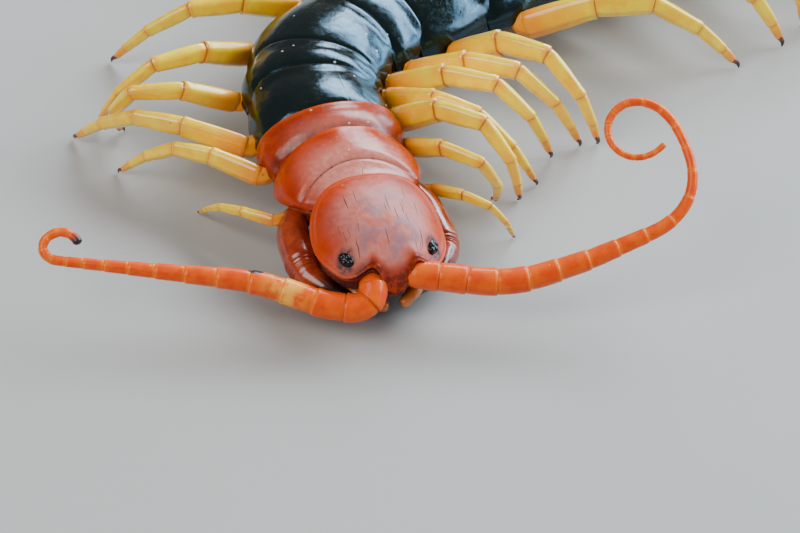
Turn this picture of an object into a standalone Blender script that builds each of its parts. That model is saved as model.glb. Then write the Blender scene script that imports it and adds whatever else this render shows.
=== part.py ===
"""A giant redheaded centipede at life size, standing on a floor with its feelers spread.

Sizes are in millimetres and are scaled to metres as each mesh is made. The animal's own
directions are u forward, v to its left and w up; s runs backwards along its middle line
from the neck, where the head meets the first plate, to the tail.
"""

import math

import bmesh
import bpy
from mathutils import Matrix, Vector

MM = 0.001
GAP = 0.3  # clear space between pieces that touch
SHARP_ANGLE = 40.0  # degrees; flatter edges are shaded smooth

# Trunk: 21 segments, each under one back plate
SEGMENTS = 21
LONG_PLATES = (1, 3, 5, 7, 8, 10, 12, 14, 16, 18, 20, 21)
FULL_PLATE_LENGTH = 8.4
FULL_WIDTH = 13.6
CREST = 3.1  # top of a back plate over the middle line
PLATE_EDGE = -0.75  # its side edges, under the middle line
BELLY = 3.0  # belly plates under the middle line
FIRST_OVERLAP = 2.1  # how far the first plate reaches forward under the head plate
PLATE_STEP = 0.35  # how far a plate's edge stands over the fold behind it
TRUNK_GROUPS = ((1,), (2,), (3, 4), (5, 6), (7, 8), (9, 10), (11, 12), (13, 14), (15, 16), (17, 18), (19, 20, 21))

# Middle line: its direction in plan, its bends, and its height over the floor
NECK = (-17.66, -67.81)  # where the head meets the first plate; the feet are set out from it
NECK_DIRECTION = 108.0  # degrees, of the line running backwards
BODY_BENDS = ((8.5, 29.5, -70.0), (48.0, 104.0, 60.0))  # from s, to s, degrees
CRUISE_HEIGHT = 5.3
SHOULDER_HEIGHT = 6.0  # the third segment rides highest
HEAD_PITCH = 5.0  # degrees, nose down
LINE_STEP = 0.5

# Head
HEAD_LENGTH = 10.6
HEAD_WIDTH = 11.3
CROWN = 3.6  # top of the head plate over the middle line
RIM_BACK = 3.1  # its rim behind, at the sides and ahead, over the middle line
RIM_SIDE = 0.5
RIM_FRONT = 0.3
HEAD_PLATE = 0.5  # its thickness at the rim
HEAD_SIDES = 28
CHIN = -1.75  # underside of the head
SOCKET = (4.3, 1.75, -0.1)  # where a feeler leaves the head: u, v, w
EYE = (2.75, 3.8)  # u and v of the middle of an eye patch
EYE_SIZE = (0.95, 0.68)  # half length and half width

# Feelers: each lies in a plane tilted over the floor
FEELER_RADIUS = 1.22
FEELER_MIDDLE_RADIUS = 0.40
FEELER_TIP_RADIUS = 0.26
FEELER_SIDES = 8
FEELER_TILT = 40.0  # degrees
# Length, joints, start direction in that plane in degrees, and bends: from, to, degrees
FEELERS = {
    "left": (44.5, 25, -6.6, ((4.0, 11.8, 25.0), (13.5, 15.7, 5.0), (19.0, 29.7, 90.0), (28.8, 48.3, 330.0))),
    "right": (33.0, 18, -70.0, ((-0.7, 3.7, -118.0), (5.0, 5.6, -11.0), (8.2, 14.0, 13.0), (26.9, 30.1, -82.0),
                                (27.5, 35.0, -189.0))),
}

# Legs: lengths of prefemur, femur, tibia, tarsus 1, tarsus 2 and claw, and their half depths
LEG_LENGTHS = (6.0, 4.6, 4.4, 2.9, 1.4, 0.9)
LEG_RADII = (1.24, 1.02, 0.76, 0.54, 0.40, 0.25)
LEG_BEND_SHARES = (0.0, 0.40, 1.15, 1.45, 1.55, 1.75)
LEG_SIDES = 6
LEG_FLATNESS = 0.84  # width over depth
LEG_ROOT_DROP = 1.35  # leg root under the middle line
LEG_SIZES = {1: 0.52, 2: 0.78, 3: 0.96, 4: 0.92}  # others are full size, those behind more
ROOT_RADIUS = 1.12
# Floor spots of the feet that the picture shows, and how far each leg's arch leans back, in degrees
FEET = {
    "left": {
        1: (13.0, 1.4, -24.0), 2: (11.3, 6.4, -26.0), 3: (13.5, 6.4, -10.0), 4: (15.2, 8.4, -14.0),
        5: (16.5, 12.2, -12.0), 6: (19.1, 13.8, -10.0), 7: (20.6, 14.1, -8.0), 8: (33.8, 25.2, 0.0),
        9: (37.9, 28.4, 0.0), 10: (39.8, 31.3, 0.0),
    },
    "right": {
        1: (-13.5, 4.6, -30.0), 2: (-20.7, 10.1, 0.0), 3: (-24.8, 14.9, -20.0), 4: (-20.5, 16.0, -30.0),
        5: (-22.7, 17.1, -26.0), 6: (-22.3, 26.1, -20.0),
    },
}
FOOT_FLAT = (0.20, 0.24)  # half sizes of the flat under each claw
STEP_REACH = 13.6  # plain walking reach of the other feet, from root to foot
STEP_SWING = 15.0  # degrees forwards and back
STEP_WAVE = 6.0  # legs in one wave of the gait

# Last legs: length of each piece, its turn in plan and its tilt against the first, in degrees
TAIL_LEG = (
    (7.2, 0.0, 0.0), (6.0, 4.0, -4.0), (5.0, 7.0, -18.0), (3.6, 6.0, -30.0), (2.4, -2.0, -34.0), (1.5, -4.0, -40.0),
)

PALETTE = {
    "head_orange": ((0.62, 0.16, 0.06), 0.35),
    "plate_orange": ((0.60, 0.17, 0.05), 0.30),
    "plate_dark": ((0.015, 0.035, 0.032), 0.18),
    "leg_yellow": ((0.80, 0.52, 0.08), 0.30),
    "feeler_orange": ((0.85, 0.22, 0.02), 0.35),
    "fang_brown": ((0.42, 0.10, 0.03), 0.22),
    "eye_black": ((0.01, 0.01, 0.012), 0.08),
    "tail_dark": ((0.03, 0.03, 0.02), 0.25),
}


def smooth(x, low, high):
    """0 up to low, 1 from high on, and an even curve between."""
    t = min(1.0, max(0.0, (x - low) / (high - low)))
    return t * t * (3.0 - 2.0 * t)


def turned(x, start, bends):
    """Direction in degrees at x of a line that starts at `start` and turns by each bend."""
    return start + sum(angle * smooth(x, low, high) for low, high, angle in bends)


def plate_length(n):
    """Length of back plate n that shows, long and short ones taking turns."""
    grown = 0.62 + 0.38 * smooth(n, 1, 10) - 0.12 * smooth(n, 18, 21)
    share = 1.0 if n in LONG_PLATES else 0.56 + 0.26 * smooth(n, 2, 14)
    return FULL_PLATE_LENGTH * grown * share


def plate_start(n):
    """s where back plate n begins."""
    return sum(plate_length(k) for k in range(1, n))


def plate_half_width(n):
    """Half the width of back plate n at its widest."""
    swell = 0.86 + 0.14 * smooth(n, 2, 10) - 0.24 * smooth(n, 14, 21)
    return 0.5 * FULL_WIDTH * (0.915 if n == 1 else swell)


def line_slope(s):
    """Fall of the middle line towards the head, as a tangent."""
    nose = math.tan(math.radians(HEAD_PITCH)) * (1.0 - smooth(s, 1.0, 13.0))
    back = (SHOULDER_HEIGHT - CRUISE_HEIGHT) * (smooth(s + 0.5, 13.0, 36.0) - smooth(s - 0.5, 13.0, 36.0))
    return nose - back


def middle_line():
    """Points of the middle line by s, from the nose to behind the tail."""
    points = {0.0: Vector((*NECK, 0.0))}
    for sign, reach in ((1, 170.0), (-1, 14.0)):
        s, at = 0.0, points[0.0].copy()
        while abs(s) < reach:
            middle = s + sign * LINE_STEP / 2
            way = math.radians(turned(middle, NECK_DIRECTION, BODY_BENDS))
            at = at + sign * LINE_STEP * Vector((math.cos(way), math.sin(way), line_slope(middle)))
            s += sign * LINE_STEP
            points[s] = at.copy()
    lift = CRUISE_HEIGHT - points[60.0].z
    for point in points.values():
        point.z += lift
    return points


LINE = middle_line()


def station(s):
    """Frame on the middle line at s: its columns are u, v, w and the place."""
    low = math.floor(s / LINE_STEP) * LINE_STEP
    place = LINE[low].lerp(LINE[low + LINE_STEP], (s - low) / LINE_STEP)
    way = math.radians(turned(s, NECK_DIRECTION, BODY_BENDS))
    u = -Vector((math.cos(way), math.sin(way), line_slope(s))).normalized()
    v = Vector((0, 0, 1)).cross(u).normalized()
    w = u.cross(v)
    frame = Matrix((u, v, w)).transposed().to_4x4()
    frame.translation = place
    return frame


def head_frame():
    """Frame at the middle of the head plate."""
    return station(-HEAD_LENGTH / 2)


def fresh_mesh(name, bm, colour):
    """Turn a bmesh in millimetres into an object of the scene."""
    bmesh.ops.recalc_face_normals(bm, faces=bm.faces)
    bmesh.ops.scale(bm, vec=(MM, MM, MM), verts=bm.verts)
    mesh = bpy.data.meshes.new(name)
    bm.to_mesh(mesh)
    bm.free()
    body = bpy.data.objects.new(name, mesh)
    bpy.context.scene.collection.objects.link(body)
    body.data.materials.append(material(colour))
    return body


def material(name):
    """Principled material of one finish, made once."""
    found = bpy.data.materials.get(name)
    if found:
        return found
    colour, roughness = PALETTE[name]
    made = bpy.data.materials.new(name)
    made.use_nodes = True
    shader = made.node_tree.nodes["Principled BSDF"]
    shader.inputs["Base Color"].default_value = (*colour, 1.0)
    shader.inputs["Roughness"].default_value = roughness
    shader.inputs["Metallic"].default_value = 0.0
    return made


def ring(bm, points):
    """A closed loop of vertices through these points; returns its vertices and edges."""
    made = bmesh.ops.create_circle(bm, segments=len(points), radius=1.0)["verts"]
    for vert, point in zip(made, points):
        vert.co = point
    edges = {edge for vert in made for edge in vert.link_edges}
    return made, list(edges)


def skin(bm, loops):
    """Join loops of equal count into one closed body, with a flat cap at each end."""
    made = [ring(bm, points) for points in loops]
    for (_, near), (_, far) in zip(made, made[1:]):
        bmesh.ops.bridge_loops(bm, edges=near + far)
    for verts, _ in (made[0], made[-1]):
        bm.faces.new(verts)


def oval(place, side, up, half_side, half_up, sides):
    """Points of an oval with a corner at its top."""
    turns = (2 * math.pi * k / sides for k in range(sides))
    return [place + side * half_side * math.sin(t) + up * half_up * math.cos(t) for t in turns]


def spike(name, root, tip, radius, sides=5, tip_radius=0.09):
    """A cone from root to tip, blunt at its tip."""
    bm = bmesh.new()
    along = (tip - root).normalized()
    side = along.orthogonal().normalized()
    up = along.cross(side)
    loops = [oval(at, side, up, r, r, sides) for at, r in ((root, radius), (tip, tip_radius))]
    skin(bm, loops)
    return fresh_mesh(name, bm, "tail_dark")


def fuse(base, pieces, operation="UNION"):
    """Join pieces to a base object, or cut them from it, by one Boolean, and remove them."""
    held = bpy.data.collections.new(base.name + "_pieces")
    for piece in pieces:
        held.objects.link(piece)
    change = base.modifiers.new(operation.lower(), "BOOLEAN")
    change.operation = operation
    change.operand_type = "COLLECTION"
    change.collection = held
    change.solver = "MANIFOLD"
    bpy.context.view_layer.update()
    shaped = bpy.data.meshes.new_from_object(base.evaluated_get(bpy.context.evaluated_depsgraph_get()))
    base.modifiers.clear()
    old = base.data
    base.data = shaped
    shaped.name = base.name
    bpy.data.meshes.remove(old)
    for piece in pieces:
        bpy.data.objects.remove(piece)
    bpy.data.collections.remove(held)
    keep_largest(base)


def keep_largest(body):
    """Drop every closed surface of an object but its largest, and points in the middle of an edge."""
    bm = bmesh.new()
    bm.from_mesh(body.data)
    bmesh.ops.dissolve_verts(bm, verts=[vert for vert in bm.verts if len(vert.link_edges) == 2])
    bmesh.ops.triangulate(bm, faces=bm.faces, quad_method="BEAUTY", ngon_method="BEAUTY")
    left, parts = set(bm.faces), []
    while left:
        part, edge = set(), [left.pop()]
        while edge:
            face = edge.pop()
            part.add(face)
            near = {other for e in face.edges for other in e.link_faces} & left
            left -= near
            edge += near
        parts.append(part)
    parts.sort(key=lambda part: sum(face.calc_area() for face in part))
    bmesh.ops.delete(bm, geom=[face for part in parts[:-1] for face in part], context="FACES")
    bm.to_mesh(body.data)
    bm.free()


def segment_profile(frame, half, sunk, belly, flank=1.0):
    """One loop round a segment: arched plate, its side edge, the soft flank and the belly plate."""
    crest = CREST - sunk
    edge = half - 0.6 * sunk
    side = flank * half
    right_half = (
        (0.34 * edge, 0.94 * crest),
        (0.64 * edge, 0.74 * crest),
        (0.87 * edge, 0.36 * crest),
        (1.00 * edge, PLATE_EDGE + 0.25),
        (0.98 * edge, PLATE_EDGE - 0.1),
        (0.88 * side, PLATE_EDGE - 0.2),
        (0.86 * side, -1.95),
        (0.66 * side, -0.93 * belly),
        (0.30 * side, -belly),
    )
    left = [frame @ Vector((0, v, w)) for v, w in right_half]
    right = [frame @ Vector((0, -v, w)) for v, w in reversed(right_half)]
    return [frame @ Vector((0, 0, crest))] + left + [frame @ Vector((0, 0, -belly))] + right


def segment_loops(n, first, last):
    """Loops along segment n; `first` and `last` say that its node ends there."""
    start, length, half = plate_start(n), plate_length(n), plate_half_width(n)
    after = plate_half_width(min(n + 1, SEGMENTS))
    joint = min(half, after) - 0.15
    loops = []
    if n == 1:
        for ahead, narrower, flank in ((FIRST_OVERLAP, 0.9, 0.62), (0.4 * FIRST_OVERLAP, 0.15, 0.64)):
            loops.append(segment_profile(station(start - ahead), half - narrower, 0.1, BELLY - 0.2, flank))
    elif first:
        neck = min(half, plate_half_width(n - 1)) - 0.15
        face = station(start) @ Matrix.Translation((-GAP / 2, 0, 0))
        loops.append(segment_profile(face, neck, PLATE_STEP, BELLY - 0.3))
    shape = ((0.12, -0.25, 0.12, 0.0), (0.55, 0.0, 0.0, 0.0), (0.90, -0.12, 0.02, 0.0))
    if n == 1:
        shape = ((0.16, 0.0, 0.0, 0.0), (0.62, -0.1, 0.0, 0.0), (0.92, -0.75, 0.05, 0.1))
    if n == SEGMENTS:
        shape = ((0.12, -0.25, 0.12, 0.0), (0.45, 0.0, 0.0, 0.0), (0.80, -0.7, 0.15, 0.3), (0.97, -2.3, 0.5, 0.7))
    for share, wider, sunk, raised in shape:
        loops.append(segment_profile(station(start + share * length), half + wider, sunk, BELLY - raised))
    if n == SEGMENTS:
        return loops
    face = station(start + length) @ Matrix.Translation((GAP / 2 if last else 0.0, 0, 0))
    loops.append(segment_profile(face, joint, PLATE_STEP, BELLY - 0.3))
    return loops


def leg_size(n):
    """Size of leg n against a full leg of the middle of the body."""
    return LEG_SIZES.get(n, 1.0) + 0.16 * smooth(n, 5, 10)


def leg_root(n, side):
    """Place where leg n leaves its stub on the trunk, and the way out from the body."""
    hand = 1 if side == "left" else -1
    s = plate_start(n) + (0.14 if n == 1 else 0.36) * plate_length(n)
    frame = station(s)
    out = hand * (plate_half_width(n) + 0.35)
    place = frame @ Vector((0, out, -LEG_ROOT_DROP))
    way = (frame.to_3x3() @ Vector((0.10, hand, -0.05))).normalized()
    return place, way


def foot_spot(n, side):
    """Floor spot of foot n and the lean of its leg: as the picture shows it, or in a walking gait."""
    if n in FEET[side]:
        x, y, lean = FEET[side][n]
        return Vector((NECK[0] + x, NECK[1] + y, 0.0)), math.radians(lean)
    hand = 1 if side == "left" else -1
    place, _ = leg_root(n, side)
    beat = n / STEP_WAVE + (0.0 if side == "left" else 0.5)
    swing = math.radians(STEP_SWING * math.sin(2 * math.pi * beat) - 16.0 * smooth(n, 12, 20))
    frame = station(plate_start(n) + 0.36 * plate_length(n)).to_3x3()
    way = frame @ Vector((math.sin(swing), hand * math.cos(swing), 0))
    reach = STEP_REACH * leg_size(n) * (1.0 + 0.05 * math.cos(2 * math.pi * beat))
    spot = place + reach * Vector((way.x, way.y, 0)).normalized()
    return Vector((spot.x, spot.y, 0.0)), 0.0


def leg_line(n, side):
    """Joints of a leg from its root to its foot, and the two directions of its arch's plane.

    The lift of the first piece and the bend that the joints share are solved so that the
    pieces, at their real lengths, end at the foot.
    """
    place, way = leg_root(n, side)
    place = place + GAP * way
    spot, lean = foot_spot(n, side)
    hand = 1 if side == "left" else -1
    lengths = [leg_size(n) * length for length in LEG_LENGTHS]
    chord = spot - place
    span = chord.length
    out = chord.normalized()
    back = Vector((0, 0, 1)).cross(out).normalized() * hand
    rise = Vector((0, 0, math.cos(lean))) + math.sin(lean) * back
    rise = (rise - out * rise.dot(out)).normalized()

    def miss(lift, bend):
        angles = [lift - bend * share for share in LEG_BEND_SHARES]
        along = sum(length * math.cos(angle) for length, angle in zip(lengths, angles))
        over = sum(length * math.sin(angle) for length, angle in zip(lengths, angles))
        return along - span, over

    lift, bend, tiny = 0.6, 1.2, 1e-5
    for _ in range(40):
        x, y = miss(lift, bend)
        a, c = ((p - q) / tiny for p, q in zip(miss(lift + tiny, bend), (x, y)))
        b, d = ((p - q) / tiny for p, q in zip(miss(lift, bend + tiny), (x, y)))
        det = a * d - b * c
        lift -= max(-0.2, min(0.2, (x * d - y * b) / det))
        bend -= max(-0.2, min(0.2, (y * a - x * c) / det))
    assert max(map(abs, miss(lift, bend))) < 0.01, f"foot {n} {side} is out of its leg's reach"
    joints, at = [place], place.copy()
    for length, share in zip(lengths, LEG_BEND_SHARES):
        angle = lift - bend * share
        at = at + length * (math.cos(angle) * out + math.sin(angle) * rise)
        joints.append(at.copy())
    return joints, out, rise


def leg(n, side):
    """One walking leg: six jointed pieces, the last a claw cut flat where it stands."""
    size = leg_size(n)
    joints, out, rise = leg_line(n, side)
    across = out.cross(rise)
    _, way = leg_root(n, side)
    upright = (rise - way * rise.dot(way)).normalized()
    side_on = way.cross(upright)
    root = ROOT_RADIUS * size
    loops = [oval(joints[0], side_on, upright, 0.8 * root, 0.95 * root, LEG_SIDES)]
    for k, radius in enumerate(LEG_RADII[:-1]):
        near, far = joints[k], joints[k + 1]
        up = across.cross((far - near).normalized())
        here, after = radius * size, LEG_RADII[k + 1] * size
        swell = 0.45 if k == 0 else 0.25
        stations = ((swell, here), (0.90, 0.45 * (here + after))) if k < 4 else ((0.5, 0.9 * here),)
        for share, r in stations:
            loops.append(oval(near.lerp(far, share), across, up, r * LEG_FLATNESS, r, LEG_SIDES))
        if k < 3:
            middle = across.cross((joints[k + 2] - near).normalized())
            neck = 0.78 * after
            loops.append(oval(far, across, middle, neck * LEG_FLATNESS, neck, LEG_SIDES))
    base, foot = joints[-2], joints[-1]
    up = across.cross((foot - base).normalized())
    claw = LEG_RADII[-1] * size
    loops.append(oval(base, across, up, claw, 1.1 * claw, LEG_SIDES))
    level_across = Vector((across.x, across.y, 0)).normalized()
    level_out = Vector((0, 0, 1)).cross(level_across)
    loops.append(oval(Vector((foot.x, foot.y, 0.0)), level_across, level_out, *FOOT_FLAT, LEG_SIDES))
    bm = bmesh.new()
    skin(bm, loops)
    return fresh_mesh(f"leg_{side}_{n:02d}", bm, "leg_yellow")


def tail_leg_line(root, heading, hand):
    """Joints of a last leg, lifted just so far that its claw stands on the floor."""
    low, high = -1.2, 1.2
    while high - low > 1e-6:
        lift = (low + high) / 2
        joints, way = [root], heading
        for length, turn, fall in TAIL_LEG:
            way += math.radians(hand * turn)
            tilt = lift + math.radians(fall)
            level = length * math.cos(tilt)
            step = Vector((level * math.cos(way), level * math.sin(way), length * math.sin(tilt)))
            joints.append(joints[-1] + step)
        if joints[-1].z > 0:
            high = lift
        else:
            low = lift
    return joints


def tail_leg(side):
    """Last leg: thick, with spines on its prefemur, trailing on the floor."""
    hand = 1 if side == "left" else -1
    frame = station(plate_start(SEGMENTS) + 0.86 * plate_length(SEGMENTS))
    root = frame @ Vector((-GAP - 1.3, hand * 2.35, -0.5))
    way = (frame.to_3x3() @ Vector((-1.0, hand * 0.22, 0.12))).normalized()
    radii = (1.75, 1.45, 1.2, 0.95, 0.72, 0.36)
    joints = tail_leg_line(root, math.atan2(way.y, way.x), hand)
    sides = LEG_SIDES + 2
    loops = []
    for k, radius in enumerate(radii[:-1]):
        near, far = joints[k], joints[k + 1]
        along = (far - near).normalized()
        across = along.cross(Vector((0, 0, 1))).normalized()
        up = across.cross(along)
        first = 0.86 * radius if k == 0 else 0.74 * radius
        for share, r in ((0.0, first), (0.25, radius), (0.86, 0.5 * (radius + radii[k + 1]))):
            loops.append(oval(near.lerp(far, share), across, up, r, 0.92 * r, sides))
    base, foot = joints[-2], joints[-1]
    along = (foot - base).normalized()
    across = along.cross(Vector((0, 0, 1))).normalized()
    loops.append(oval(base, across, across.cross(along), radii[-1], radii[-1], sides))
    level = Vector((along.x, along.y, 0)).normalized()
    loops.append(oval(Vector((foot.x, foot.y, 0)), across, level, *FOOT_FLAT, sides))
    bm = bmesh.new()
    skin(bm, loops)
    body = fresh_mesh(f"leg_{side}_{SEGMENTS:02d}", bm, "tail_dark")
    along = (joints[1] - joints[0]).normalized()
    across = along.cross(Vector((0, 0, 1))).normalized() * -hand
    spines = []
    for row, (share, lean) in enumerate(((0.42, 0.55), (0.66, 0.75), (0.93, 0.9))):
        at = joints[0].lerp(joints[1], share)
        outward = (across * -lean + Vector((0, 0, 1)) * 0.75).normalized()
        tip = at + outward * (radii[0] + 0.75 + 0.12 * row) + along * 0.55
        spines.append(spike(f"spine_{side}_{row}", at + outward * 0.5 * radii[0], tip, 0.42))
    fuse(body, spines)
    return body


def feeler_line(side):
    """Points and directions along a feeler, a few to each joint, in its tilted plane."""
    hand = 1 if side == "left" else -1
    u, v, w = SOCKET
    tilt = math.radians(FEELER_TILT)
    e1, e2 = Vector((1, 0, 0)), Vector((0, math.cos(tilt), math.sin(tilt)))
    length, joints, start, bends = FEELERS[side]
    steps = joints * 8
    step = length / steps
    points, at = [], head_frame() @ Vector((u, hand * v, w))
    for k in range(steps + 1):
        way = math.radians(turned(k * step, start, bends))
        along = e1 * math.cos(way) + e2 * math.sin(way)
        points.append((at.copy(), along))
        at = at + step * along
    return points, e1.cross(e2)


def feeler_place(points, share):
    """Point and direction at a share of a feeler's length."""
    at = share * (len(points) - 1)
    k = min(int(at), len(points) - 2)
    place = points[k][0].lerp(points[k + 1][0], at - k)
    return place, points[k][1].lerp(points[k + 1][1], at - k).normalized()


def feeler_ends(joints):
    """Where each joint of a feeler begins and ends, as shares of its length: short at root and tip."""
    sizes = [0.92 + 0.30 * smooth(k, 0, 4) - 0.62 * smooth(k, 7, 25) for k in range(joints)]
    total, ends, at = sum(sizes), [], 0.0
    for size in sizes:
        ends.append((at / total, (at + size) / total))
        at += size
    return ends


def feeler_radius(reach):
    """Radius of a feeler at a distance from its root."""
    slim = FEELER_RADIUS - (FEELER_RADIUS - FEELER_MIDDLE_RADIUS) * smooth(reach, 1.0, 30.0)
    return slim - (FEELER_MIDDLE_RADIUS - FEELER_TIP_RADIUS) * smooth(reach, 30.0, 45.0)


def feeler(side):
    """One feeler: a chain of cup-shaped joints, each a little wider at its far end."""
    points, normal = feeler_line(side)
    length, joints = FEELERS[side][:2]
    loops = []
    for low, high in feeler_ends(joints):
        for share, fit in ((low + 0.002, 0.84), (high - 0.004, 1.0)):
            at, along = feeler_place(points, share)
            radius = feeler_radius(share * length) * fit
            loops.append(oval(at, normal, normal.cross(along), radius, radius, FEELER_SIDES))
    at, along = points[-1]
    radius = 0.5 * feeler_radius(length)
    loops.append(oval(at + along * radius, normal, normal.cross(along), radius, radius, FEELER_SIDES))
    bm = bmesh.new()
    skin(bm, loops)
    return fresh_mesh(f"antenna_{side}", bm, "feeler_orange")


def head_outline(turn):
    """Distance from the head's middle to its rim; turn is 0 ahead and grows to the left."""
    c, s = math.cos(turn), math.sin(turn)
    half_length, half_width = HEAD_LENGTH / 2, HEAD_WIDTH / 2
    power = 2.25
    base = (abs(c / half_length) ** power + abs(s / half_width) ** power) ** (-1 / power)
    off = abs(math.atan2(s, c))
    bay = 0.055 * math.exp(-(((off - 0.42) / 0.20) ** 2))
    cheek = 0.02 * math.exp(-(((off - 0.85) / 0.25) ** 2))
    return base * (1.0 - bay + cheek)


def head_rim(turn):
    """Height of the rim over the head's frame: high behind, where it lies on the first plate."""
    back = smooth(-math.cos(turn), -0.15, 1.0)
    ahead = smooth(math.cos(turn), 0.55, 1.0)
    return RIM_SIDE + (RIM_BACK - RIM_SIDE) * back + (RIM_FRONT - RIM_SIDE) * ahead


def head_surface(u, v):
    """Height of the top of the head plate over its frame, at u and v."""
    turn = math.atan2(v, u)
    share = min(1.0, math.hypot(u, v) / head_outline(turn))
    return head_rim(turn) + (CROWN - head_rim(turn)) * (1.0 - share**2.3)


def head():
    """Head plate with its dome, the capsule under it and a stub for each feeler."""
    frame = head_frame()
    plate = ((0.30, 0.0), (0.60, 0.0), (0.84, 0.0), (0.96, 0.0), (1.0, 0.25))  # share of the outline, drop
    capsule = ((0.985, 0.0), (0.90, 0.25), (0.80, 0.75), (0.62, 1.0))  # share, and how far down to the chin
    loops = []
    for share, drop in plate:
        points = []
        for k in range(HEAD_SIDES):
            turn = 2 * math.pi * k / HEAD_SIDES
            u, v = (share * head_outline(turn) * part for part in (math.cos(turn), math.sin(turn)))
            points.append(frame @ Vector((u, v, head_surface(u, v) - drop)))
        loops.append(points)
    for share, depth in capsule:
        points = []
        for k in range(HEAD_SIDES):
            turn = 2 * math.pi * k / HEAD_SIDES
            u, v = (share * head_outline(turn) * part for part in (math.cos(turn), math.sin(turn)))
            under = head_rim(turn) - HEAD_PLATE
            points.append(frame @ Vector((u, v, under + (CHIN - under) * depth)))
        loops.append(points)
    bm = bmesh.new()
    skin(bm, loops)
    top = max((face for face in bm.faces if len(face.verts) == HEAD_SIDES), key=lambda f: f.calc_center_median().z)
    crown = bmesh.ops.poke(bm, faces=[top])["verts"][0]
    crown.co = frame @ Vector((0, 0, CROWN))
    body = fresh_mesh("head", bm, "head_orange")
    cutters = [feeler_socket(side) for side in ("left", "right")]
    cutters += [eye_blank(hand, GAP, "eye_socket") for hand in (1, -1)]
    fuse(body, cutters, "DIFFERENCE")
    return body


def feeler_socket(side):
    """Cutter for the round pocket that a feeler sits in."""
    points, normal = feeler_line(side)
    at, along = points[0]
    radius = FEELER_RADIUS + GAP
    loops = [oval(at - along * GAP, normal, normal.cross(along), radius, radius, FEELER_SIDES)]
    for at, along in points[6:30:6]:
        loops.append(oval(at, normal, normal.cross(along), radius, radius, FEELER_SIDES))
    bm = bmesh.new()
    skin(bm, loops)
    return fresh_mesh("feeler_socket", bm, "head_orange")


def eye_frame(hand):
    """Frame on the head plate under an eye patch, its w along the surface's normal."""
    u, v = EYE[0], hand * EYE[1]
    tiny = 0.05
    du = (head_surface(u + tiny, v) - head_surface(u - tiny, v)) / (2 * tiny)
    dv = (head_surface(u, v + tiny) - head_surface(u, v - tiny)) / (2 * tiny)
    w = Vector((-du, -dv, 1)).normalized()
    x = Vector((0.86, -0.5 * hand, 0))
    x = (x - w * x.dot(w)).normalized()
    local = Matrix((x, w.cross(x), w)).transposed().to_4x4()
    local.translation = Vector((u, v, head_surface(u, v)))
    return head_frame() @ local


def eye_blank(hand, grow, name):
    """Lens-shaped body of an eye patch, or its socket when grown."""
    bm = bmesh.new()
    bmesh.ops.create_uvsphere(bm, u_segments=12, v_segments=6, radius=1.0)
    a, b = EYE_SIZE
    bmesh.ops.scale(bm, vec=(a + grow, b + grow, 0.42 + grow), verts=bm.verts)
    bmesh.ops.transform(bm, matrix=eye_frame(hand), verts=bm.verts)
    return fresh_mesh(name, bm, "eye_black")


def eye(side):
    """Eye patch: a low lens with four simple eyes standing on it."""
    hand = 1 if side == "left" else -1
    body = eye_blank(hand, 0.0, f"eye_{side}")
    frame = eye_frame(hand)
    lenses = []
    for x, y, r in ((0.50, 0.0, 0.34), (0.02, 0.30, 0.33), (0.0, -0.30, 0.33), (-0.50, 0.05, 0.30)):
        bm = bmesh.new()
        bmesh.ops.create_icosphere(bm, subdivisions=1, radius=r)
        bmesh.ops.translate(bm, vec=(x, y, 0.27), verts=bm.verts)
        bmesh.ops.transform(bm, matrix=frame, verts=bm.verts)
        lenses.append(fresh_mesh("lens", bm, "eye_black"))
    fuse(body, lenses)
    return body


# Fangs: middle line of one, in the head's frame, with its half width and half depth
FANG_LINE = (
    (-3.4, 5.25, -2.40, 1.25, 1.20),
    (-2.4, 5.75, -2.25, 1.45, 1.50),
    (-0.9, 5.95, -2.20, 1.40, 1.65),
    (0.1, 5.85, -2.30, 1.20, 1.45),
    (0.7, 5.65, -2.35, 1.18, 1.38),
    (1.9, 4.85, -2.50, 1.00, 1.20),
    (2.9, 3.60, -2.70, 0.72, 0.88),
    (3.6, 2.15, -2.90, 0.42, 0.52),
    (3.75, 1.00, -3.00, 0.13, 0.16),
)


def fang(side):
    """Poison claw: broad root piece, the creased joint beside the head, and the curved fang."""
    hand = 1 if side == "left" else -1
    frame = head_frame()
    centres = [Vector((u, hand * v, w)) for u, v, w, _, _ in FANG_LINE]
    loops = []
    for k, (_, _, _, half_side, half_up) in enumerate(FANG_LINE):
        before, after = centres[max(0, k - 1)], centres[min(len(centres) - 1, k + 1)]
        along = (after - before).normalized()
        across = Vector((0, 0, 1)).cross(along).normalized()
        up = along.cross(across)
        points = oval(centres[k], across, up, half_side, half_up, 10)
        loops.append([frame @ point for point in points])
    bm = bmesh.new()
    skin(bm, loops)
    return fresh_mesh(f"forcipule_{side}", bm, "fang_brown")


def jaw_base(frame):
    """Breast plate of the fangs under the head, with a toothed lip, as a closed piece."""
    shape = (  # u, half width, top and bottom
        (-6.6, 3.5, -1.75, -3.0), (-5.2, 3.6, -1.9, -3.35), (-2.0, 3.6, -2.05, -3.55),
        (0.8, 3.0, -2.2, -3.45), (2.3, 2.2, -2.35, -3.15),
    )
    loops = []
    for u, half, top, bottom in shape:
        rim = ((-half, 0.35), (-0.55 * half, 0.0), (0.55 * half, 0.0), (half, 0.35))
        high = [frame @ Vector((u, v, top - 0.3 * sink)) for v, sink in rim]
        low = [frame @ Vector((u, v, bottom + sink)) for v, sink in reversed(rim)]
        loops.append(high + low)
    bm = bmesh.new()
    skin(bm, loops)
    return fresh_mesh("jaw_base", bm, "plate_orange")


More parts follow.
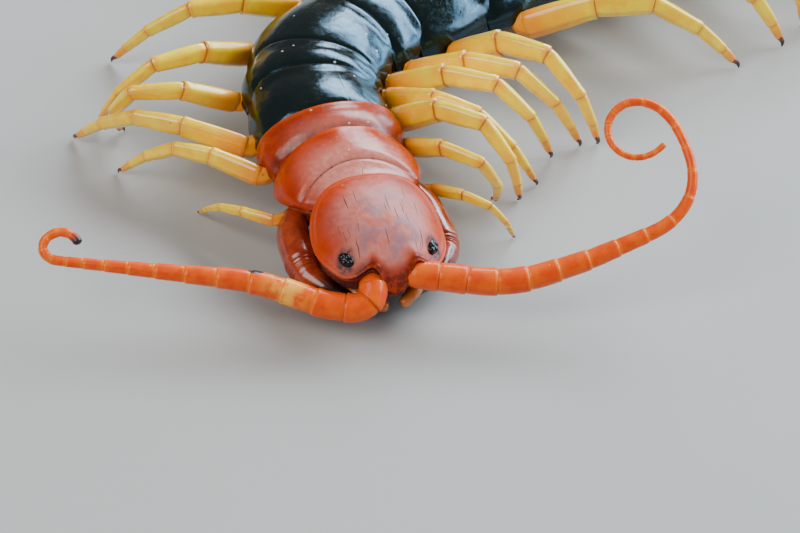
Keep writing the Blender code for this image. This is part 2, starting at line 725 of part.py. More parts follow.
def trunk(group):
    """One length of trunk: its plates in a row, with a stub for each leg fused on."""
    name = "trunk_" + "_".join(f"{n:02d}" for n in group)
    colour = "plate_orange" if max(group) < 3 else "plate_dark"
    loops = []
    for n in group:
        loops += segment_loops(n, n == group[0], n == group[-1])
    bm = bmesh.new()
    skin(bm, loops)
    body = fresh_mesh(name, bm, colour)
    extras = []
    for n in group:
        for side, hand in (("left", 1), ("right", -1)):
            if n == SEGMENTS:
                extras += tail_stub(side, hand)
                continue
            place, way = leg_root(n, side)
            size = leg_size(n)
            across = way.cross(Vector((0, 0, 1))).normalized()
            up = across.cross(way)
            inner = place - way * (0.42 * plate_half_width(n))
            stub = bmesh.new()
            skin(stub, [
                oval(inner, across, up, ROOT_RADIUS * size * 1.15, ROOT_RADIUS * size * 1.1, LEG_SIDES),
                oval(place, across, up, ROOT_RADIUS * size * 0.8, ROOT_RADIUS * size * 0.95, LEG_SIDES),
            ])
            extras.append(fresh_mesh(f"stub_{side}", stub, colour))
    if group == (1,):
        extras.append(jaw_base(head_frame()))
        extras += fang_stubs()
        extras += lip_teeth()
    fuse(body, extras)
    if group == (1,):
        fuse(body, [head_clearance()], "DIFFERENCE")
    return body


def fang_stubs():
    """Stub that carries each fang on the breast plate."""
    made = []
    frame = head_frame()
    u, v, w, half_side, half_up = FANG_LINE[0]
    nu, nv, nw = FANG_LINE[1][:3]
    for hand in (1, -1):
        end = Vector((u, hand * v, w))
        along = (Vector((nu, hand * nv, nw)) - end).normalized()
        across = Vector((0, 0, 1)).cross(along).normalized()
        up = along.cross(across)
        root = Vector((u - 2.0, hand * (v - 2.0), w))
        stub = bmesh.new()
        skin(stub, [
            [frame @ p for p in oval(root, across, up, half_side, 0.9 * half_up, 10)],
            [frame @ p for p in oval(end - along * GAP, across, up, half_side * 0.94, half_up * 0.94, 10)],
        ])
        made.append(fresh_mesh("fang_stub", stub, "plate_orange"))
    return made


def lip_teeth():
    """Four teeth on each side of the breast plate's lip."""
    frame = head_frame()
    made = []
    for hand in (1, -1):
        for k in range(4):
            v = hand * (0.42 + 0.42 * k)
            root = frame @ Vector((1.4, v, -2.8))
            tip = frame @ Vector((2.65 - 0.08 * k, v * 0.98, -2.85))
            made.append(spike("lip_tooth", root, tip, 0.27, sides=5, tip_radius=0.12))
    return made


def head_clearance():
    """Cutter that clears the head plate and capsule from the first segment."""
    frame = head_frame()
    loops = []
    for level in (CHIN - GAP, CROWN + 4.0):
        points = []
        for k in range(HEAD_SIDES):
            turn = 2 * math.pi * k / HEAD_SIDES
            r = head_outline(turn) + GAP
            points.append(frame @ Vector((r * math.cos(turn), r * math.sin(turn), level)))
        loops.append(points)
    bm = bmesh.new()
    skin(bm, loops)
    return fresh_mesh("head_clearance", bm, "plate_orange")


def tail_stub(side, hand):
    """Flank piece of the last segment that carries a tail leg, with its spiny process."""
    frame = station(plate_start(SEGMENTS) + 0.86 * plate_length(SEGMENTS))
    way = Vector((-1.0, hand * 0.22, 0.12)).normalized()
    across = way.cross(Vector((0, 0, 1))).normalized()
    up = across.cross(way)
    root = Vector((1.8, hand * 2.0, -0.7))
    end = Vector((-1.3, hand * 2.35, -0.5))
    stub = bmesh.new()
    skin(stub, [
        [frame @ p for p in oval(root, across, up, 1.7, 1.7, LEG_SIDES + 2)],
        [frame @ p for p in oval(end, across, up, 1.5, 1.38, LEG_SIDES + 2)],
    ])
    made = [fresh_mesh(f"tail_stub_{side}", stub, "tail_dark")]
    root = frame @ Vector((0.4, hand * 1.3, -1.9))
    tip = frame @ Vector((-2.6, hand * 1.15, -2.25))
    made.append(spike(f"process_{side}", root, tip, 0.62, sides=6, tip_radius=0.14))
    return made


def main():
    """Clear the scene and build every piece."""
    for old in list(bpy.data.objects):
        bpy.data.objects.remove(old)
    head()
    for group in TRUNK_GROUPS:
        trunk(group)
    for side in ("left", "right"):
        eye(side)
        feeler(side)
        fang(side)
        for n in range(1, SEGMENTS):
            leg(n, side)
        tail_leg(side)
    for body in bpy.data.objects:
        body.data.shade_smooth()
        body.data.set_sharp_from_angle(angle=math.radians(SHARP_ANGLE))


if __name__ == "__main__":
    main()
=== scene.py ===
"""Looks of a giant redheaded centipede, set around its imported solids.

Lengths are in millimetres while a piece is shaped and become metres when its mesh is
finished. The animal's own directions are u forward, v to its left and w up; s runs
backwards along its middle line from the neck. Every mesh carries two measures for its
material: "rim_mm", the way to its nearest edge or joint, which is FAR where none is near, and
"course", a second measure that each piece explains.
"""

import logging
import math
from collections.abc import Callable, Sequence
from dataclasses import dataclass, field
from enum import Enum
from typing import Any

import bmesh
import bpy
from mathutils import Matrix, Vector, noise


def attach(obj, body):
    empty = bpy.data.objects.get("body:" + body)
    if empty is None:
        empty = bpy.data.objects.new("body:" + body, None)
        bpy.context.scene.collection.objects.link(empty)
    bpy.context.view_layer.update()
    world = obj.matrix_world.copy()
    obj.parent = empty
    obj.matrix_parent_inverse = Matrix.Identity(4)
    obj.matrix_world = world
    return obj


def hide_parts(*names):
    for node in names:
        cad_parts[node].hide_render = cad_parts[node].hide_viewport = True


MM = 0.001
UP = Vector((0.0, 0.0, 1.0))
FAR = 9.0
Spot = tuple[Vector, float, float]
Section = list[tuple[float, float]]
Rows = tuple[tuple[float, ...], ...]
Spots = Callable[[float, float], Spot]
Colour = tuple[float, float, float]

log = logging.getLogger("centipede")
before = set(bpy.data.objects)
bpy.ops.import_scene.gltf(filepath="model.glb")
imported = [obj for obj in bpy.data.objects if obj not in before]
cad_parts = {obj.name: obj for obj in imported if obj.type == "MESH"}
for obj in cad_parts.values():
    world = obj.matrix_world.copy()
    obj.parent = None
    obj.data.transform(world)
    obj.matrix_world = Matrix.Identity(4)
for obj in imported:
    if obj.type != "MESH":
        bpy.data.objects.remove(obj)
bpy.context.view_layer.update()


class Side(Enum):
    """One of the animal's own two sides."""

    LEFT = 1
    RIGHT = -1

    @property
    def word(self) -> str:
        """The side's name as the nodes have it."""
        return self.name.lower()


def smooth(x: float, low: float, high: float) -> float:
    """0 up to low, 1 from high on, and an even curve between."""
    t = min(1.0, max(0.0, (x - low) / (high - low)))
    return t * t * (3.0 - 2.0 * t)


def bump(x: float, middle: float, reach: float) -> float:
    """A rounded rise of height 1 at `middle` that fades out over about twice `reach`."""
    return math.exp(-(((x - middle) / reach) ** 2))


def turned(x: float, start: float, bends: Rows) -> float:
    """Direction in degrees at x of a line that starts at `start` and turns by each bend."""
    return start + sum(angle * smooth(x, low, high) for low, high, angle in bends)


def ripple(point: Vector, size: float, seed: float = 0.0) -> float:
    """Smooth noise from -1 to 1 whose waves are about `size` long."""
    return noise.noise(point / size + Vector((seed, 0.0, 0.0)))


def curve_through(points: Sequence[Sequence[float]], t: float) -> list[float]:
    """Row of numbers at t of a smooth curve through rows that are evenly spaced in t.

    Args:
        points: Rows of numbers that the curve passes through.
        t: Share of the way along the curve, from 0 to 1.

    Returns:
        One row of numbers.
    """
    at = min(max(t, 0.0), 1.0) * (len(points) - 1)
    k = min(int(at), len(points) - 2)
    x = at - k
    rows = [points[min(max(k + i, 0), len(points) - 1)] for i in (-1, 0, 1, 2)]
    return [
        0.5 * (2 * p + (q - o) * x + (2 * o - 5 * p + 4 * q - r) * x * x + (3 * p - o - 3 * q + r) * x**3)
        for o, p, q, r in zip(*rows)
    ]


def rounded_section(faces: Sequence[tuple[float, float]], sides: int, power: float) -> Section:
    """Points round a prism with soft corners.

    Args:
        faces: Each flat's direction in degrees from the top, and its distance from the middle.
        sides: How many points go round.
        power: How sharp the corners are.

    Returns:
        Sideways and upward measures, once round from the top.
    """
    points = []
    for k in range(sides):
        turn = 2 * math.pi * k / sides
        total = 0.0
        for angle, distance in faces:
            total += max(0.0, math.cos(turn - math.radians(angle)) / distance) ** power
        radius = total ** (-1.0 / power)
        points.append((radius * math.sin(turn), radius * math.cos(turn)))
    return points


def round_section(sides: int) -> Section:
    """Points round a circle, from the top."""
    turns = (2 * math.pi * k / sides for k in range(sides))
    return [(math.sin(turn), math.cos(turn)) for turn in turns]


@dataclass(frozen=True)
class Coat:
    """A material and the slot that it stands for."""

    material: bpy.types.Material
    slot: str


@dataclass
class Ring:
    """One closed loop of a tube: its place, directions, half sizes and the two measures."""

    place: Vector
    side: Vector
    up: Vector
    half_side: float = 0.0
    half_up: float = 0.0
    rim: float = FAR
    course: float = 0.0


class Shape:
    """A mesh in the making, in millimetres, with the measures that its material reads."""

    def __init__(self) -> None:
        """Start an empty mesh."""
        self.bm = bmesh.new()
        self.bm.loops.layers.uv.new("UVMap")
        self.rim = self.bm.verts.layers.float.new("rim_mm")
        self.course = self.bm.verts.layers.float.new("course")

    def sheet(self, across: int, along: int, at: Spots) -> None:
        """Add a grid of faces and lay each of its points where `at` says.

        Args:
            across: Faces from side to side.
            along: Faces from end to end.
            at: Gives the place and the two measures at two shares from 0 to 1.
        """
        made = bmesh.ops.create_grid(
            self.bm, x_segments=across, y_segments=along, size=1.0, calc_uvs=True
        )["verts"]
        for vert in made:
            vert.co, vert[self.rim], vert[self.course] = at(0.5 + 0.5 * vert.co.x, 0.5 + 0.5 * vert.co.y)

    def tube(self, rings: Sequence[Ring], section: Section) -> None:
        """Add a closed skin over a row of rings; an end ring of no size closes to a point.

        Args:
            rings: Its loops, from end to end.
            section: Its outline across.
        """
        sides, last = len(section), len(rings) - 1

        def at(a: float, b: float) -> Spot:
            """Point of the skin, a share of the way round and along.

            Args:
                a: Share across or round.
                b: Share along.

            Returns:
                The place and the two measures.
            """
            x, y = section[round(a * sides) % sides]
            ring = rings[round(b * last)]
            place = ring.place + ring.side * (ring.half_side * x) + ring.up * (ring.half_up * y)
            return place, ring.rim, ring.course

        self.sheet(sides, last, at)

    def ball(self, radius: float, scale: Vector, place: Matrix, course: float = 0.0) -> None:
        """Add a rounded knob.

        Args:
            radius: Radius before it is stretched.
            scale: Stretch of each axis.
            place: Its place.
            course: Its course measure.
        """
        made = bmesh.ops.create_icosphere(self.bm, subdivisions=3, radius=radius)["verts"]
        bmesh.ops.scale(self.bm, vec=scale, verts=made)
        bmesh.ops.transform(self.bm, matrix=place, verts=made)
        for vert in made:
            vert[self.course] = course

    def settle(self) -> None:
        """Close the seams and turn every face outwards."""
        bmesh.ops.remove_doubles(self.bm, verts=self.bm.verts, dist=1e-4)
        bmesh.ops.recalc_face_normals(self.bm, faces=self.bm.faces)

    def thicken(self, thickness: float) -> None:
        """Give a thin sheet its wall, under the side that faces up, and round its edges.

        Args:
            thickness: Thickness of the wall.
        """
        self.settle()
        if sum(face.normal.z for face in self.bm.faces) < 0.0:
            bmesh.ops.reverse_faces(self.bm, faces=self.bm.faces)
        bmesh.ops.solidify(self.bm, geom=self.bm.faces, thickness=thickness)
        self.bm.normal_update()
        edges = [e for e in self.bm.edges if len(e.link_faces) == 2 and e.calc_face_angle() > 1.0]
        bmesh.ops.bevel(
            self.bm, geom=edges, offset=0.3 * thickness, segments=2, profile=0.5, affect="EDGES", material=-1
        )

    def finish(self, name: str, coat: Coat, nodes: Sequence[str] = ()) -> None:
        """Make the object, in metres, let it ride on the animal and dress it.

        Args:
            name: Name of the piece.
            coat: Its material and slot.
            nodes: Nodes that it stands for.
        """
        bmesh.ops.scale(self.bm, vec=(MM, MM, MM), verts=self.bm.verts)
        mesh = bpy.data.meshes.new(name)
        self.bm.to_mesh(mesh)
        self.bm.free()
        mesh.shade_smooth()
        mesh.materials.append(coat.material)
        piece = bpy.data.objects.new(name, mesh)
        bpy.context.scene.collection.objects.link(piece)
        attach(piece, "root")
        if nodes:
            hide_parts(*nodes)
        log.info("%s: %d faces", name, len(mesh.polygons))


def tube_piece(
    name: str, rings: Sequence[Ring], section: Section, coat: Coat, nodes: Sequence[str] = ()
) -> None:
    """Build a closed tube as a piece of its own.

    Args:
        name: Name of the piece.
        rings: Its loops, from end to end.
        section: Its outline across.
        coat: Its coat.
        nodes: Nodes that the piece stands for.
    """
    shape = Shape()
    shape.tube(rings, section)
    shape.settle()
    shape.finish(name, coat, nodes)


def closed_piece(name: str, grid: tuple[int, int], at: Spots, coat: Coat, nodes: Sequence[str] = ()) -> None:
    """Build a form whose sheet closes on itself as a piece of its own.

    Args:
        name: Name of the piece.
        grid: Faces across and along.
        at: Gives the place and the two measures at two shares.
        coat: Its coat.
        nodes: Nodes that the piece stands for.
    """
    shape = Shape()
    shape.sheet(*grid, at)
    shape.settle()
    shape.finish(name, coat, nodes)


def along_rows(rows: Rows, t: float, step: float, hand: int) -> tuple[list[float], Vector, Vector]:
    """Row of sizes at t of a curved piece, with the directions across and over it there.

    Args:
        rows: Rows of places and sizes.
        t: Share along.
        step: Share over which the direction is taken.
        hand: 1 for the left, -1 for the right.

    Returns:
        The row and both directions.
    """
    ahead, behind = curve_through(rows, t + step), curve_through(rows, t - step)
    way = Vector((ahead[0] - behind[0], hand * (ahead[1] - behind[1]), ahead[2] - behind[2]))
    along = way.normalized()
    across = UP.cross(along).normalized()
    return curve_through(rows, t), across, along.cross(across)


class Nodes:
    """A node tree in the making."""

    def __init__(self, tree: bpy.types.NodeTree) -> None:
        """Work in this tree."""
        self.tree = tree

    def add(self, kind: str, inputs: dict[Any, Any], out: str | int = 0, **settings: Any) -> Any:
        """Add a node and return one of its outputs.

        Args:
            kind: Blender's name of the node, without ShaderNode.
            inputs: Socket or value for each input.
            out: Which output is wanted.
            settings: The node's own options.

        Returns:
            The output socket.
        """
        node = self.tree.nodes.new("ShaderNode" + kind)
        for key, value in settings.items():
            setattr(node, key, value)
        for key, value in inputs.items():
            self.feed(node.inputs[key], value)
        return node.outputs[out]

    def feed(self, socket: Any, value: Any) -> None:
        """Link a socket to this input, or set the input's own value.

        Args:
            socket: The input.
            value: A socket, a number or a colour.
        """
        if isinstance(value, bpy.types.NodeSocket):
            self.tree.links.new(value, socket)
        elif isinstance(value, tuple) and len(value) == 3 and socket.type == "RGBA":
            socket.default_value = (*value, 1.0)
        else:
            socket.default_value = value

    def math(self, operation: str, a: Any, b: Any = 0.0, clamp: bool = False) -> Any:
        """Add one sum and return its result."""
        return self.add("Math", {0: a, 1: b}, operation=operation, use_clamp=clamp)

    def times(self, a: Any, b: Any, clamp: bool = False) -> Any:
        """Multiply two values."""
        return self.math("MULTIPLY", a, b, clamp)

    def mix(self, share: Any, a: Any, b: Any) -> Any:
        """Blend two colours by a share."""
        return self.add("Mix", {0: share, 6: a, 7: b}, 2, data_type="RGBA")

    def dress(self, shader: bpy.types.Node, colour: Any, rough: Any, height: Any) -> None:
        """Feed a shader its colour, its roughness and a bump from a height in millimetres.

        Args:
            shader: The material's shader.
            colour: Its colour.
            rough: Its roughness.
            height: Height of its surface.
        """
        self.feed(shader.inputs["Base Color"], colour)
        self.feed(shader.inputs["Roughness"], rough)
        bumps = self.add("Bump", {"Height": height, "Distance": MM, "Strength": 1.0})
        self.feed(shader.inputs["Normal"], bumps)

    def ramp(self, value: Any, low: Any, high: Any, start: Any = 0.0, end: Any = 1.0) -> Any:
        """Turn a value from low to high into an even curve from start to end."""
        inputs = {0: value, 1: low, 2: high, 3: start, 4: end}
        return self.add("MapRange", inputs, interpolation_type="SMOOTHSTEP")

    def measure(self, name: str) -> Any:
        """Read one of the mesh's own measures."""
        return self.add("Attribute", {}, "Fac", attribute_name=name)

    def uv_x(self) -> Any:
        """The share of the way across the piece, from its UV map."""
        return self.add("SeparateXYZ", {0: self.add("UVMap", {})})

    def place(self) -> Any:
        """The surface's place on the object, in millimetres."""
        spot = self.add("TexCoord", {}, "Object")
        return self.add("Mapping", {"Vector": spot, "Scale": (1.0 / MM,) * 3})

    def effect(self, group: bpy.types.NodeTree, inputs: dict[str, Any]) -> Any:
        """Place a shared effect and return its output.

        Args:
            group: The effect's node group.
            inputs: Socket or value for each input.

        Returns:
            The output socket.
        """
        node = self.tree.nodes.new("ShaderNodeGroup")
        node.node_tree = group
        for key, value in inputs.items():
            self.feed(node.inputs[key], value)
        return node.outputs[0]


def new_effect(name: str, out: str, *inputs: str) -> tuple[Nodes, Any, Any]:
    """Start a shared effect.

    Args:
        name: Its name.
        out: Name of its one output.
        inputs: Names of its inputs, of which Place is a vector and the others are numbers.

    Returns:
        The tree, the group's input sockets and its output socket.
    """
    tree = bpy.data.node_groups.new(name, "ShaderNodeTree")
    for key in inputs:
        kind = "NodeSocketVector" if key == "Place" else "NodeSocketFloat"
        tree.interface.new_socket(name=key, in_out="INPUT", socket_type=kind)
    tree.interface.new_socket(name=out, in_out="OUTPUT", socket_type="NodeSocketFloat")
    given = tree.nodes.new("NodeGroupInput")
    result = tree.nodes.new("NodeGroupOutput")
    return Nodes(tree), given.outputs, result.inputs[0]


def specks(n: Nodes, place: Any, given: Any, lot: int, core: float, fade: float) -> Any:
    """1 on a speck in the middle of each chosen cell, and 0 between.

    Args:
        n: The effect's tree.
        place: Place on the surface.
        given: The effect's inputs.
        lot: Which random number chooses the cells.
        core: Size of a speck's core.
        fade: Size at which it has faded.

    Returns:
        The output socket.
    """
    scale = n.math("DIVIDE", 1.0, given["Size"])
    cells = n.add("TexVoronoi", {"Vector": place, "Scale": scale}, "Distance")
    lots = n.add("TexVoronoi", {"Vector": place, "Scale": scale}, "Color")
    chosen = n.math("LESS_THAN", n.add("SeparateColor", {0: lots}, lot), given["Chance"])
    return n.times(n.ramp(cells, core, fade, 1.0, 0.0), chosen)


class Effects:
    """The surface effects that several materials share, each built once."""

    def __init__(self) -> None:
        """Build every effect."""
        self.dust = self.build_dust()
        self.dashes = self.build_dashes()
        self.clouds = self.build_clouds()
        self.edge = self.build_edge()
        self.line = self.build_line()
        self.grain = self.build_grain()

    def build_dust(self) -> bpy.types.NodeTree:
        """Sparse round specks: a cell of the given size holds one with the given chance.

        Returns:
            The effect's node group.
        """
        n, given, result = new_effect("dust", "Mask", "Place", "Size", "Chance")
        n.feed(result, specks(n, given["Place"], given, 0, 0.10, 0.17))
        return n.tree

    def build_dashes(self) -> bpy.types.NodeTree:
        """Fine dark dashes that lie mostly lengthwise on the head.

        Returns:
            The effect's node group.
        """
        n, given, result = new_effect("dashes", "Mask", "Place", "Size", "Chance")
        warp = n.add("TexNoise", {"Vector": given["Place"], "Scale": 0.5}, "Color")
        push = n.add("VectorMath", {0: warp, 1: (0.7, 0.7, 0.7)}, operation="MULTIPLY")
        bent = n.add("VectorMath", {0: given["Place"], 1: push})
        turn, stretch = (0.0, 0.0, math.radians(104.0)), (4.7, 0.26, 7.0)
        laid = {"Vector": bent, "Rotation": turn, "Scale": stretch}
        place = n.add("Mapping", laid, vector_type="TEXTURE")
        n.feed(result, specks(n, place, given, 1, 0.15, 0.27))
        return n.tree

    def build_clouds(self) -> bpy.types.NodeTree:
        """Soft patches of the given size, from 0 to 1.

        Returns:
            The effect's node group.
        """
        n, given, result = new_effect("clouds", "Value", "Place", "Size")
        scale = n.math("DIVIDE", 1.0, given["Size"])
        inputs = {"Vector": given["Place"], "Scale": scale, "Detail": 3.0, "Roughness": 0.55}
        n.feed(result, n.ramp(n.add("TexNoise", inputs), 0.34, 0.66))
        return n.tree

    def build_edge(self) -> bpy.types.NodeTree:
        """1 at a rim or joint, fading to 0 at the given reach.

        Returns:
            The effect's node group.
        """
        n, given, result = new_effect("edge", "Mask", "Rim", "Reach")
        n.feed(result, n.ramp(given["Rim"], 0.0, given["Reach"], 1.0, 0.0))
        return n.tree

    def build_line(self) -> bpy.types.NodeTree:
        """1 where a measure has the given value, fading to 0 at the given width.

        Returns:
            The effect's node group.
        """
        n, given, result = new_effect("line", "Mask", "Across", "At", "Width")
        away = n.math("ABSOLUTE", n.math("SUBTRACT", given["Across"], given["At"]))
        n.feed(result, n.ramp(away, 0.0, given["Width"], 1.0, 0.0))
        return n.tree

    def build_grain(self) -> bpy.types.NodeTree:
        """Height of a shell's fine pores and shallow waves, in millimetres.

        Returns:
            The effect's node group.
        """
        n, given, result = new_effect("grain", "Height", "Place", "Pores", "Waves")
        pores = n.add("TexVoronoi", {"Vector": given["Place"], "Scale": 5.5}, "Distance")
        pit = n.ramp(pores, 0.05, 0.22, -1.0, 0.0)
        wave = n.add("TexNoise", {"Vector": given["Place"], "Scale": 0.55, "Detail": 4.0})
        fine = n.add("TexNoise", {"Vector": given["Place"], "Scale": 16.0, "Detail": 2.0})
        pits = n.times(n.math("ADD", pit, fine), given["Pores"])
        n.feed(result, n.math("ADD", pits, n.times(wave, given["Waves"])))
        return n.tree


def new_material(name: str, **sockets: Any) -> tuple[bpy.types.Material, Nodes, bpy.types.Node]:
    """Start a material with these fixed values on its shader.

    Args:
        name: Name of the material.
        sockets: Value of each input, by its name.

    Returns:
        The material, its tree and its shader.
    """
    made = bpy.data.materials.new(name)
    made.use_nodes = True
    shader = made.node_tree.nodes["Principled BSDF"]
    n = Nodes(made.node_tree)
    for key, value in sockets.items():
        n.feed(shader.inputs[key.replace("_", " ").title().replace("Ior", "IOR")], value)
    return made, n, shader


@dataclass(frozen=True)
class ShellFinish:
    """A plate's shell: mottled, with a painted sheen that pales its middle, a saturated rim, dashes, dust,
    and darkening by course, which on the head and in the plates' front folds is painted shade.
    """

    name: str
    body: Colour
    deep: Colour
    # Colour of a painted sheen that pales the middle, away from the rim, with its strength, its reach from
    # the rim and its limits across.
    painted_sheen: Colour
    rim: Colour
    shade: Colour
    dust: Colour
    painted_sheen_share: float
    rim_reach: float
    dust_chance: float
    dust_size: float
    roughness: float
    dash_chance: float = 0.0
    sutures: float = 3.0
    suture_depth: float = 0.0
    coat_weight: float = 0.35
    specular: float = 0.5
    specular_tint: Colour = (1.0, 1.0, 1.0)
    painted_sheen_from: float = 3.6
    painted_sheen_sides: tuple[float, float] | None = None
    waves: float = 0.10
    patches: Colour = (0.0, 0.0, 0.0)
    patch_share: float = 0.0

    def paint(self, fx: Effects) -> bpy.types.Material:
        """Build the material; course is 1 where the shell darkens, which on the head and in the plates' front
        folds is painted shade.

        Args:
            fx: The shared effects.

        Returns:
            The material.
        """
        made, n, shader = new_material(
            self.name, coat_weight=self.coat_weight, coat_roughness=0.16,
            specular_ior_level=self.specular, specular_tint=self.specular_tint,
        )
        place, rim = n.place(), n.measure("rim_mm")
        clouds = n.effect(fx.clouds, {"Place": place, "Size": 2.6})
        fine = n.effect(fx.clouds, {"Place": place, "Size": 0.5})
        colour = n.mix(clouds, self.deep, self.body)
        across = n.math("ABSOLUTE", n.math("SUBTRACT", n.times(n.uv_x(), 2.0), 1.0))
        # Painted sheen: away from the rim the colour turns towards the sheen colour, standing in for a broad
        # reflection of the light.
        middle = n.times(n.ramp(rim, 0.4, self.painted_sheen_from), n.ramp(fine, 0.0, 1.0, 0.74, 1.0))
        if self.painted_sheen_sides:
            middle = n.times(middle, n.ramp(across, *self.painted_sheen_sides, 1.0, 0.0))
        colour = n.mix(n.times(middle, self.painted_sheen_share), colour, self.painted_sheen)
        if self.patch_share:
            blots = n.effect(fx.clouds, {"Place": place, "Size": 1.35})
            inner = n.times(n.ramp(blots, 0.35, 0.95), n.ramp(rim, 1.6, 4.2))
            colour = n.mix(n.times(inner, self.patch_share), colour, self.patches)
        edge = n.effect(fx.edge, {"Rim": rim, "Reach": self.rim_reach})
        colour = n.mix(edge, colour, self.rim)
        # Course darkens the colour towards the shade colour: painted shade on the head and in the plates'
        # front folds.
        shade = n.times(n.measure("course"), n.ramp(fine, 0.0, 0.7, 0.45, 1.15), True)
        colour = n.mix(shade, colour, self.shade)
        dashes = n.effect(fx.dashes, {"Place": place, "Size": 0.78, "Chance": self.dash_chance})
        inside = n.times(dashes, n.ramp(rim, 1.2, 2.4))
        colour = n.mix(n.times(inside, 0.85), colour, self.shade)
        suture = n.effect(fx.line, {"Across": across, "At": self.sutures, "Width": 0.012})
        margin = n.effect(fx.line, {"Across": across, "At": 0.93, "Width": 0.014})
        lines = n.math("MAXIMUM", suture, n.times(margin, 0.6))
        dust = n.effect(fx.dust, {"Place": place, "Size": self.dust_size, "Chance": self.dust_chance})
        colour = n.mix(n.times(dust, 0.8), colour, self.dust)
        rough = n.ramp(fine, 0.0, 1.0, self.roughness - 0.04, self.roughness + 0.06)
        rough = n.math("ADD", rough, n.times(dust, 0.4))
        height = n.effect(fx.grain, {"Place": place, "Pores": 0.006, "Waves": self.waves})
        height = n.math("SUBTRACT", height, n.times(lines, self.suture_depth))
        height = n.math("SUBTRACT", height, n.times(inside, 0.01))
        height = n.math("ADD", height, n.times(dust, 0.03))
        n.dress(shader, colour, rough, height)
        return made


@dataclass(frozen=True)
class LegFinish:
    """Yellow legs: orange at the root and foot, brown rings at the joints, a line on the thigh."""

    name: str
    body: Colour
    pale: Colour
    orange: Colour
    ring: Colour
    roughness: float = 0.30

    def paint(self, fx: Effects) -> bpy.types.Material:
        """Build the material; course counts the leg's pieces from 0 at the root.

        Args:
            fx: The shared effects.

        Returns:
            The material.
        """
        made, n, shader = new_material(
            self.name, coat_weight=1.0, coat_roughness=0.09, specular_ior_level=0.30, subsurface_weight=0.10,
            subsurface_radius=(1.0, 0.5, 0.12), subsurface_scale=0.9 * MM,
        )
        place, rim, course = n.place(), n.measure("rim_mm"), n.measure("course")
        clouds = n.effect(fx.clouds, {"Place": place, "Size": 1.5})
        colour = n.mix(clouds, self.body, self.pale)
        root = n.ramp(course, 0.0, 0.9, 0.95, 0.0)
        foot = n.ramp(course, 3.7, 4.6, 0.0, 0.9)
        colour = n.mix(n.math("MAXIMUM", root, foot), colour, self.orange)
        soft = n.times(n.effect(fx.edge, {"Rim": rim, "Reach": 0.55}), 0.5)
        colour = n.mix(soft, colour, self.orange)
        joint = n.effect(fx.edge, {"Rim": rim, "Reach": 0.09})
        ring = n.times(joint, n.ramp(course, 3.9, 4.2, 1.0, 0.25))
        colour = n.mix(ring, colour, self.ring)
        stripe = n.effect(fx.line, {"Across": n.uv_x(), "At": 0.30, "Width": 0.012})
        stripe = n.times(stripe, n.math("LESS_THAN", course, 0.93))
        colour = n.mix(n.times(stripe, 0.5), colour, self.ring)
        dust = n.effect(fx.dust, {"Place": place, "Size": 0.8, "Chance": 0.05})
        colour = n.mix(n.times(dust, 0.7), colour, self.ring)
        rough = n.ramp(clouds, 0.0, 1.0, self.roughness, self.roughness + 0.08)
        height = n.effect(fx.grain, {"Place": place, "Pores": 0.005, "Waves": 0.05})
        height = n.math("SUBTRACT", height, n.times(stripe, 0.03))
        n.dress(shader, colour, rough, height)
        return made


@dataclass(frozen=True)
class FeelerFinish:
    """Satin orange feelers with thin joint lines; one has a painted highlight, a pale yellow band round a
    joint, and a dark tip.
    """

    name: str
    body: Colour
    pale: Colour
    ring: Colour
    # Colour of a painted highlight band round one joint; dust specks take it too.
    painted_glint: Colour
    mark: Colour

    def paint(self, fx: Effects) -> bpy.types.Material:
        """Build the material; course is the share along the feeler with the painted highlight band, and over
        2 on the other.

        Args:
            fx: The shared effects.

        Returns:
            The material.
        """
        made, n, shader = new_material(
            self.name, coat_weight=0.3, coat_roughness=0.16, specular_ior_level=0.25,
            specular_tint=(1.0, 0.48, 0.22), subsurface_weight=0.06,
            subsurface_radius=(1.0, 0.35, 0.08), subsurface_scale=0.8 * MM,
        )
        place, rim, course = n.place(), n.measure("rim_mm"), n.measure("course")
        clouds = n.effect(fx.clouds, {"Place": place, "Size": 1.3})
        colour = n.mix(n.times(clouds, 0.35), self.body, self.pale)
        share = n.math("MODULO", course, 2.0)
        ends = n.effect(fx.edge, {"Rim": rim, "Reach": 0.32})
        colour = n.mix(n.times(ends, n.ramp(share, 0.10, 0.20, 0.15, 0.75)), colour, self.pale)
        # Painted highlight: a pale yellow band round one joint of the right feeler, standing in for its gloss
        # catching the light.
        painted_glint = n.effect(fx.line, {"Across": course, "At": 0.265, "Width": 0.08})
        colour = n.mix(n.times(painted_glint, n.ramp(clouds, -0.2, 0.9)), colour, self.painted_glint)
        joint = n.effect(fx.edge, {"Rim": rim, "Reach": 0.08})
        colour = n.mix(n.times(joint, n.ramp(share, 0.10, 0.20, 1.0, 0.5)), colour, self.ring)
        upper = n.effect(fx.line, {"Across": n.uv_x(), "At": 0.45, "Width": 0.16})
        spot = n.effect(fx.line, {"Across": course, "At": 0.345, "Width": 0.03})
        spot = n.ramp(n.times(spot, upper), 0.25, 0.45)
        tip = n.effect(fx.line, {"Across": course, "At": 1.0, "Width": 0.035})
        colour = n.mix(n.math("MAXIMUM", spot, tip), colour, self.mark)
        dust = n.effect(fx.dust, {"Place": place, "Size": 0.7, "Chance": 0.06})
        colour = n.mix(n.times(dust, 0.5), colour, self.painted_glint)
        rough = n.ramp(clouds, 0.0, 1.0, 0.36, 0.46)
        height = n.effect(fx.grain, {"Place": place, "Pores": 0.006, "Waves": 0.04})
        n.dress(shader, colour, rough, height)
        return made


